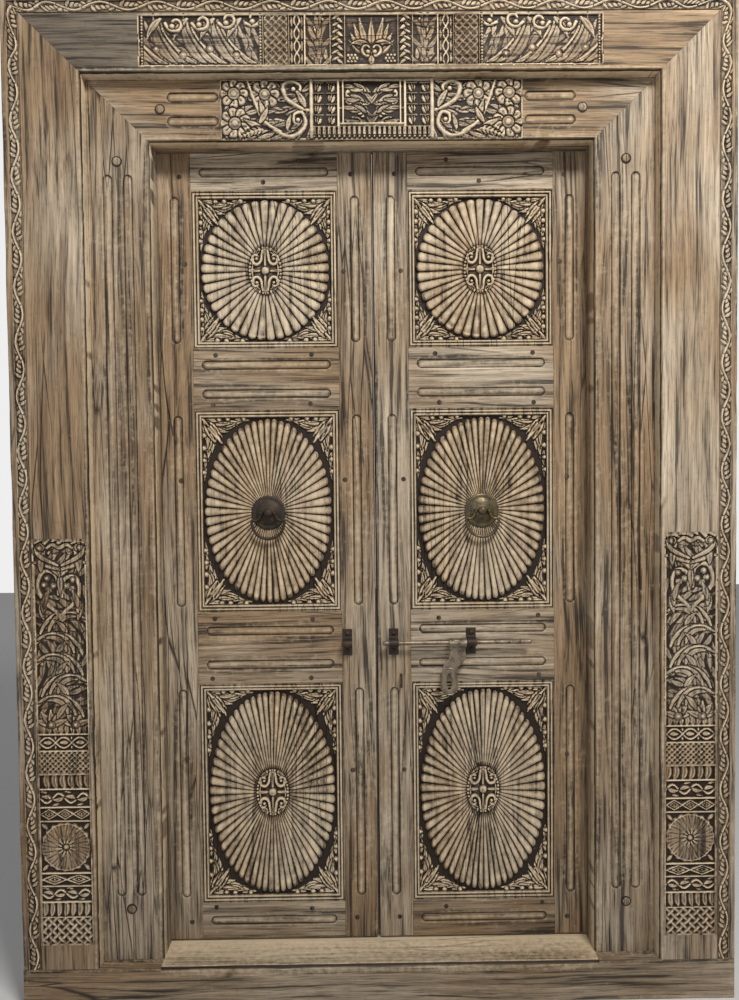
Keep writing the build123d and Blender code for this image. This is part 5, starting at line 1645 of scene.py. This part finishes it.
def add_panel(side, panel_name, low, high):
    half_x = (PANEL_FAR - PANEL_NEAR) / 2 - MOULDING
    half_z = (high - low) / 2 - MOULDING
    cx, cz = side * PANEL_MIDDLE, (low + high) / 2
    rx, rz = half_x - BURST_MARGIN_X, half_z - BURST_MARGIN_Z
    parts = [add_field(cx, cz, half_x + TUCK, half_z + TUCK, rx, rz), add_disc(panel_name, cx, cz, rx, rz)]
    if panel_name != "middle":
        parts.append(add_hub(cx, cz))
    name = hand(side)
    # The panels take more soiling with painted shade in their cuts, and more rubbed wood with a painted
    # highlight on their ridges, than plain boards
    dress(joined(parts), f"{name}_{panel_name}_sunburst", f"{name}_leaf",
          wood("panel_teak", "Z", 1.25, 0.85, seed=8), [f"{name}_{panel_name}_panel"], 50)


# Pegs and ironwork

BOLT_Y, BOLT_Z = 88, 860
# Where the straps and the keeper lie across the door, the far ends of their feet, and how close they
# bend round the rod
STRAPS = ((31, 55), (226, 250))
KEEPER = (-85, -61)
STRAP_FOOT = 33
STRAP_BEND = 7.9
HASP_COLLAR = (179.7, 225.3)
EYE_X, EYE_Z = 180.5, 762
PULL_LEVEL = 1188
RING_Y = 99


def swept(path, half_a, half_b, ref=(0, 1, 0), sides=12, square=2.0, closed=False):
    """A bar along a path: half as thick as half_b along ref, and as half_a across that."""
    p = np.asarray(path, float)
    along = np.roll(p, -1, 0) - np.roll(p, 1, 0) if closed else np.gradient(p, axis=0)
    a = np.cross(along, ref)
    a /= np.linalg.norm(a, axis=1)[:, None]
    turn = np.linspace(0, 2 * pi, sides + 1)
    ca, sa = (np.sign(f) * np.abs(f) ** (2 / square) for f in (np.cos(turn), np.sin(turn)))
    half_a, half_b = (np.broadcast_to(h, len(p))[:, None, None] for h in (half_a, half_b))
    ca, sa = ca[None, :, None], sa[None, :, None]
    rows = p[:, None] + a[:, None] * half_a * ca + np.asarray(ref) * half_b * sa
    if closed:
        rows = np.concatenate([rows, rows[:1]])
    else:
        ends = np.broadcast_to(p[[0, -1], None], (2, sides + 1, 3))
        rows = np.concatenate([ends[:1], rows, ends[1:]])
    obj = sheet(rows)
    merge(obj)
    return obj


def turned(profile, x, z, sides=20, scallops=0, wave=0.0):
    """A round shape that faces the viewer, from its radii and depths, with a scalloped rim if asked."""
    turn = np.linspace(0, 2 * pi, sides + 1)
    r, y = (np.array(side)[:, None] for side in zip(*profile))
    rim = np.clip(r / r.max(), 0, 1) ** 6 * wave * np.abs(np.sin(turn * scallops / 2))
    reach = r * (1 - rim)
    obj = sheet(np.stack([x + reach * np.sin(turn), y + 0 * turn, z + reach * np.cos(turn)], 2))
    merge(obj)
    return obj


def joined(parts):
    deselect()
    for part in parts:
        part.select_set(True)
    bpy.context.view_layer.objects.active = parts[0]
    bpy.ops.object.join()
    return parts[0]


def dome(radius, front, back):
    """The profile of a driven nail or peg with a rounded head."""
    rise = back - front
    return [(0, front), (radius * 0.45, front + rise * 0.08), (radius * 0.8, front + rise * 0.34),
            (radius, front + rise * 0.8), (radius, back), (0, back)]


FRAME_PEGS = ((502, 2151), (606.5, 2030), (606.5, 225))


def add_frame_pegs():
    face = INNER_FACE - 0.3
    profile = [(0, 32), (4, 32.3), (8, 33.4), (9.6, 34.8), (9.9, face), (10.4, face), (12.4, face),
               (12.6, 40), (0, 40)]
    # The outer rings of each head take the full tone: a dark ring of soiling and painted shade where it
    # meets the face
    tones = (0.45, 0.45, 0.42, 0.6, 1, 1, 1)
    radii = [point[0] for point in profile[:len(tones)]]
    pegs = []
    for x, z in FRAME_PEGS:
        for side in SIDES:
            peg = turned(profile, side * x, z)
            reach = np.hypot(places(peg)[:, 0] - side * x, places(peg)[:, 2] - z)
            paint(peg, "cut", np.interp(reach, radii, tones))
            pegs.append(peg)
    dress(joined(pegs), "frame_peg_heads", "frame",
          wood("peg_teak", "Z", 1.2, 0.6, 0.1, seed=9, shade=0.86), ["frame_pegs"])


# Places of the pegs that show in a leaf, out from the middle of the door and up
LEAF_PEGS = ((476, 2020), (182, 2059), (267, 2004), (54, 2026), (465, 1805), (71, 1787), (395, 1582),
             (154, 1580), (400, 1460), (161, 1458), (159, 920), (166, 770), (407, 922), (412, 773),
             (415, 183), (171, 180), (73, 1268), (65, 533), (483, 1272), (481, 565), (478, 150), (54, 152))
PEG_RADIUS = 6.2


def add_leaf_pegs(side):
    """Dark flat pegs, driven in until they stand just proud of the face."""
    r, face = PEG_RADIUS, LEAF_FACE
    profile = [(0, face - 0.5), (r * 0.6, face - 0.45), (r * 0.95, face - 0.2), (r, face + 3),
               (0, face + 3)]
    pegs = [turned(profile, side * x + 2 * np.sin(k * 2.3), z + 2 * np.sin(k * 3.7), 14)
            for k, (x, z) in enumerate(LEAF_PEGS)]
    dress(joined(pegs), f"{hand(side)}_leaf_pegs", f"{hand(side)}_leaf",
          wood("dark_peg", "Z", 1.0, 0.0, 0.25, seed=9, shade=0.22))


PULL_PLATE = ((0, 90.2), (4.5, 90.5), (8.5, 92.2), (10.8, 95.5), (11, 98.5), (9.2, 101.5), (9.6, 103.2),
              (13, 104.2), (20, 105.8), (26, 107.8), (30, 110.2), (32.5, 111.6), (36, 111.4), (40, 111.2),
              (42.6, 112), (44, 113.4), (44, 114.3), (0, 114.3))
PULL_EYE = ((0, 93.6), (3, 94.1), (5, 96.5), (5.4, 100), (4.2, 104), (5.6, 108.5), (0, 108.5))
RING_HALF = ((13, 1), (17.3, 0), (19, -6.5), (22.5, -13.5), (28.5, -18.5), (34.5, -19), (39.6, -17.2),
             (40.8, -21.5), (39.8, -31), (36, -42), (28.5, -53), (16, -61.5), (0, -65))


def add_pull(side):
    x, z = side * PANEL_MIDDLE, PULL_LEVEL
    name = hand(side)
    finish, slot = (brass(), "bright_pull") if side > 0 else (iron(), "dark_pull")
    parts = [turned(PULL_PLATE, x, z, 72, 24, 0.045)]
    parts += [turned(PULL_EYE, x + way * 17, z, 14) for way in SIDES]
    dress(joined(parts), f"{name}_pull_rose", f"{name}_leaf", finish, [f"{name}_pull_plate"])
    half = smooth(RING_HALF, 5)
    line = np.concatenate([half * (-1, 1), half[-2::-1]])
    path = np.stack([x + line[:, 0], np.full(len(line), float(RING_Y)), z + line[:, 1]], 1)
    thick = 3.0 + 0.7 * np.clip(-line[:, 1] / 65, 0, 1)
    ring = swept(path, thick, thick, sides=14)
    dress(ring, f"{name}_pull_bail", f"{name}_ring", finish, [f"{name}_pull_ring"])


def saddle(x0, x1):
    """A strap bent over the bolt, with a foot above and one below."""
    bend = [(BOLT_Y - STRAP_BEND * cos(t), BOLT_Z + STRAP_BEND * sin(t)) for t in np.linspace(pi / 2, 0, 7)]
    upper = smooth([(108.4, BOLT_Z + STRAP_FOOT), (108.4, BOLT_Z + 22), (108.3, BOLT_Z + 13),
                    (106.5, BOLT_Z + 9.4), (102, BOLT_Z + 8.1)], 4)
    half = [*upper, *bend]
    line = half + [(y, 2 * BOLT_Z - z) for y, z in half[-2::-1]]
    path = np.array([((x0 + x1) / 2, y, z) for y, z in line])
    return swept(path, 1.45, (x1 - x0) / 2, (1, 0, 0), 16, 5.0)


def strap_nails(spans):
    """A nail through both feet of each strap."""
    return [turned(dome(5, 103.9, 107.2), (x0 + x1) / 2, BOLT_Z + way * 21.4, 16)
            for x0, x1 in spans for way in SIDES]


def add_straps():
    for spans, body, name, strap_node, nail_node in (
            (STRAPS, "right_leaf", "bolt", "bolt_straps", "strap_nails"),
            ((KEEPER,), "left_leaf", "keeper", "bolt_keeper", "keeper_nails")):
        straps = f"{name}_saddles" if len(spans) > 1 else f"{name}_saddle"
        dress(joined([saddle(*span) for span in spans]), straps, body, iron(), [strap_node], 50)
        dress(joined(strap_nails(spans)), f"{name}_saddle_nails", body, iron(), [nail_node], 50)


def add_bolt():
    low, high = box("bolt_rod")
    steps = ((0.1, 3.4), (1.2, 4.9), (3, 5.4), (12, 5.45), (12.8, 5.0), (14, 5.0), (15, 5.4))
    near = [(low[0] + s, r) for s, r in steps]
    far = [(high[0] - s, r) for s, r in reversed(steps)]
    line = np.array(near + [(low[0] + 60, 5.2), (low[0] + 150, 5.4), (high[0] - 60, 5.25)] + far)
    path = np.stack([line[:, 0], np.full(len(line), BOLT_Y), np.full(len(line), BOLT_Z)], 1)
    rod = swept(path, line[:, 1], line[:, 1], sides=20)
    dress(rod, "sliding_rod", "bolt", worn_iron(), ["bolt_rod"], 40)


def add_hasp():
    """A faceted collar on the rod, a tongue that curves down from it, and a loop plate with a slot."""
    x0, x1 = HASP_COLLAR
    middle = (x0 + x1) / 2
    radii = ((0, 7.5), (0.6, 10.2), (1.6, 10.9), (12, 10.6), (23, 10.4), (34, 10.6), (44, 10.9), (45, 10.2),
             (45.6, 7.5))
    path = [(x0 + s, BOLT_Y, BOLT_Z) for s, r in radii]
    r = np.array([r for s, r in radii])
    collar = swept(path, r, r, sides=8)
    spine = smooth([(middle, BOLT_Z - 7), (middle, BOLT_Z - 14), (middle - 0.5, BOLT_Z - 24),
                    (middle - 2, BOLT_Z - 36), (middle - 10, BOLT_Z - 50), (EYE_X - 1, EYE_Z + 34),
                    (EYE_X, EYE_Z + 26)], 5)
    run = np.linspace(0, 1, len(spine))
    wide = np.interp(run, (0, 0.14, 0.3, 0.45, 0.66, 0.85, 1), (21, 21, 18.5, 22, 16.5, 14.5, 18))
    bulge = np.interp(run, (0, 0.1, 0.16, 0.22, 0.3, 0.4, 1), (3, 3, 2, 2.8, 1.9, 2.1, 2))
    tongue = swept([(x, BOLT_Y, z) for x, z in spine], wide, bulge, sides=20, square=3.2)
    turn = np.linspace(0, 2 * pi, 44, endpoint=False)
    oval = [(EYE_X + 13.6 * np.sign(sin(t)) * abs(sin(t)) ** 0.72, BOLT_Y,
             EYE_Z + 28 * np.sign(cos(t)) * abs(cos(t)) ** 0.8) for t in turn]
    eye = swept(oval, 8.0, 2.0, sides=14, square=2.6, closed=True)
    rim = [(EYE_X + (p[0] - EYE_X) * 1.42, BOLT_Y - 0.9, EYE_Z + (p[2] - EYE_Z) * 1.18) for p in oval]
    bead = swept(rim, 2.1, 2.4, sides=10, closed=True)
    dress(joined([collar, tongue, eye, bead]), "hasp_loop", "hasp", worn_iron(), ["hasp"], 34)


# Stage

CAMERA_PLACE = (-0.0351, -1.8937, 1.2839)
CAMERA_TURN = (-0.6, -1.9, 0.6)
CAMERA_FOCUS = 0.8
# Each lamp: name, place, aim, width, height, power and tint
LAMPS = (("key_lamp", (0.9, -2.0, 3.75), (0.1, 0, 1.1), 1.0, 0.6, 92, (1.0, 0.98, 0.95)),
         ("fill_lamp", (-1.6, -3.4, 1.3), (0, 0, 0.9), 2.4, 2.0, 13, (0.96, 0.98, 1.0)))


def white_backdrop():
    """A world that lights the door softly and shows pale behind it."""
    world = bpy.data.worlds.new("soft_studio")
    bpy.context.scene.world = world
    world.use_nodes = True
    tree = world.node_tree
    tree.nodes.clear()
    out = tree.nodes.new("ShaderNodeOutputWorld")
    light = node(tree, "ShaderNodeBackground", Color=(0.95, 0.97, 1.0, 1), Strength=0.2)
    shown = node(tree, "ShaderNodeBackground", Color=(0.86, 0.86, 0.86, 1), Strength=1.0)
    path = tree.nodes.new("ShaderNodeLightPath")
    seen = math(tree, "MAXIMUM", (path, "Is Camera Ray"))
    join(tree, path, "Is Glossy Ray", seen, 1)
    either = math(tree, "MAXIMUM", (seen, 0))
    join(tree, path, "Is Transmission Ray", either, 1)
    both = tree.nodes.new("ShaderNodeMixShader")
    join(tree, either, 0, both, 0)
    join(tree, light, 0, both, 1)
    join(tree, shown, 0, both, 2)
    join(tree, both, 0, out, "Surface")


def add_lamp(name, place, aim, wide, tall, power, tint):
    data = bpy.data.lights.new(name, "AREA")
    data.shape, data.size, data.size_y, data.energy, data.color = "RECTANGLE", wide, tall, power, tint
    lamp = bpy.data.objects.new(name, data)
    lamp.location = place
    lamp.rotation_euler = (Vector(aim) - Vector(place)).to_track_quat("-Z", "Y").to_euler()
    bpy.context.scene.collection.objects.link(lamp)


def add_floor():
    deselect()
    bpy.ops.mesh.primitive_plane_add(size=14)
    floor = bpy.context.object
    floor.name = "studio_floor"
    made, _, shader = new_material("pale_floor")
    shader.inputs["Base Color"].default_value = (0.8, 0.79, 0.77, 1)
    shader.inputs["Roughness"].default_value = 0.8
    floor.data.materials.append(made)


def add_camera():
    data = bpy.data.cameras.new("camera")
    data.lens = data.sensor_width * CAMERA_FOCUS
    camera = bpy.data.objects.new("camera", data)
    yaw, pitch, roll = (radians(a) for a in CAMERA_TURN)
    turn = (Matrix.Rotation(yaw, 4, "Z") @ Matrix.Rotation(pitch, 4, "X") @ Matrix.Rotation(roll, 4, "Y")
            @ Matrix.Rotation(pi / 2, 4, "X"))
    camera.matrix_world = Matrix.Translation(CAMERA_PLACE) @ turn
    bpy.context.scene.collection.objects.link(camera)
    bpy.context.scene.camera = camera


# Operators


class DOOR_OT_sill(bpy.types.Operator):
    """Adds the sill beam"""
    bl_idname = "door.sill"
    bl_label = "Sill"

    def execute(self, context):
        add_sill()
        return {"FINISHED"}


class DOOR_OT_outer_frame(bpy.types.Operator):
    """Adds the boards of the outer frame"""
    bl_idname = "door.outer_frame"
    bl_label = "Outer frame"

    def execute(self, context):
        for side in SIDES:
            add_outer_jamb(side)
        add_outer_lintel()
        return {"FINISHED"}


class DOOR_OT_vine_border(bpy.types.Operator):
    """Adds the vine along the edge of the outer frame"""
    bl_idname = "door.vine_border"
    bl_label = "Vine border"

    def execute(self, context):
        for side in SIDES:
            add_vine_sides(side)
        add_vine_head()
        return {"FINISHED"}


class DOOR_OT_frame_carvings(bpy.types.Operator):
    """Adds the carved bands of the jambs and the lintel"""
    bl_idname = "door.frame_carvings"
    bl_label = "Frame carvings"

    def execute(self, context):
        for side in SIDES:
            add_jamb_carving(side)
        add_lintel_carving()
        return {"FINISHED"}


class DOOR_OT_inner_frame(bpy.types.Operator):
    """Adds the fluted inner frame and its carved block"""
    bl_idname = "door.inner_frame"
    bl_label = "Inner frame"

    def execute(self, context):
        for side in SIDES:
            add_inner_jamb(side)
        add_inner_lintel()
        add_lintel_block()
        return {"FINISHED"}


class DOOR_OT_stiles(bpy.types.Operator):
    """Adds the stiles of both leaves"""
    bl_idname = "door.stiles"
    bl_label = "Stiles"

    def execute(self, context):
        for side in SIDES:
            for kind in ("meeting", "hinge"):
                add_stile(side, kind)
        return {"FINISHED"}


class DOOR_OT_rails(bpy.types.Operator):
    """Adds the rails of both leaves"""
    bl_idname = "door.rails"
    bl_label = "Rails"

    def execute(self, context):
        for side in SIDES:
            for name in LEAF_RAILS:
                add_rail(side, name)
        return {"FINISHED"}


class DOOR_OT_mouldings(bpy.types.Operator):
    """Adds the beaded mouldings round the panels"""
    bl_idname = "door.mouldings"
    bl_label = "Mouldings"

    def execute(self, context):
        for side in SIDES:
            for name, (low, high) in zip(PANEL_NAMES, OPENING_SPANS):
                add_moulding(side, name, low, high)
        return {"FINISHED"}


class DOOR_OT_sunbursts(bpy.types.Operator):
    """Adds the six sunburst panels"""
    bl_idname = "door.sunbursts"
    bl_label = "Sunburst panels"

    def execute(self, context):
        for side in SIDES:
            for name, (low, high) in zip(PANEL_NAMES, OPENING_SPANS):
                add_panel(side, name, low, high)
        return {"FINISHED"}


class DOOR_OT_pegs(bpy.types.Operator):
    """Adds the wooden pegs of the frame and the leaves"""
    bl_idname = "door.pegs"
    bl_label = "Pegs"

    def execute(self, context):
        add_frame_pegs()
        for side in SIDES:
            add_leaf_pegs(side)
        return {"FINISHED"}


class DOOR_OT_pulls(bpy.types.Operator):
    """Adds the two pull plates with their bails"""
    bl_idname = "door.pulls"
    bl_label = "Pulls"

    def execute(self, context):
        for side in SIDES:
            add_pull(side)
        return {"FINISHED"}


class DOOR_OT_bolt(bpy.types.Operator):
    """Adds the sliding bolt with its saddles and its hasp"""
    bl_idname = "door.bolt"
    bl_label = "Bolt"

    def execute(self, context):
        add_straps()
        add_bolt()
        add_hasp()
        return {"FINISHED"}


class DOOR_OT_stage(bpy.types.Operator):
    """Adds the floor, the lamps, the backdrop and the camera"""
    bl_idname = "door.stage"
    bl_label = "Stage"

    def execute(self, context):
        add_floor()
        white_backdrop()
        for lamp in LAMPS:
            add_lamp(*lamp)
        add_camera()
        context.scene.view_settings.view_transform = "Standard"
        return {"FINISHED"}


class DOOR_PT_panel(bpy.types.Panel):
    """Lists the pieces of the door"""
    bl_label = "Carved temple door"
    bl_idname = "DOOR_PT_panel"
    bl_space_type = "VIEW_3D"
    bl_region_type = "UI"
    bl_category = "Door"

    def draw(self, context):
        for group in (context.scene.door_colours, context.scene.door_carving):
            for key in group.__annotations__:
                self.layout.prop(group, key)
        for operator in operators:
            self.layout.operator(operator.bl_idname)


operators = (DOOR_OT_sill, DOOR_OT_outer_frame, DOOR_OT_vine_border, DOOR_OT_frame_carvings,
             DOOR_OT_inner_frame, DOOR_OT_stiles, DOOR_OT_rails, DOOR_OT_mouldings, DOOR_OT_sunbursts,
             DOOR_OT_pegs, DOOR_OT_pulls, DOOR_OT_bolt, DOOR_OT_stage)
classes = (DoorColours, DoorCarving, *operators, DOOR_PT_panel)


def register():
    for cls in classes:
        bpy.utils.register_class(cls)
    bpy.types.Scene.door_colours = PointerProperty(type=DoorColours)
    bpy.types.Scene.door_carving = PointerProperty(type=DoorCarving)


def unregister():
    del bpy.types.Scene.door_colours
    del bpy.types.Scene.door_carving
    for cls in reversed(classes):
        bpy.utils.unregister_class(cls)


def main():
    register()
    for cad_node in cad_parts.values():
        if not cad_node.material_slots:
            cad_node.data.materials.append(None)
        for material_slot in cad_node.material_slots:
            material_slot.material = iron()
    bpy.ops.door.sill()
    bpy.ops.door.outer_frame()
    bpy.ops.door.vine_border()
    bpy.ops.door.frame_carvings()
    bpy.ops.door.inner_frame()
    bpy.ops.door.stiles()
    bpy.ops.door.rails()
    bpy.ops.door.mouldings()
    bpy.ops.door.sunbursts()
    bpy.ops.door.pegs()
    bpy.ops.door.pulls()
    bpy.ops.door.bolt()
    bpy.ops.door.stage()


if __name__ == "__main__":
    main()
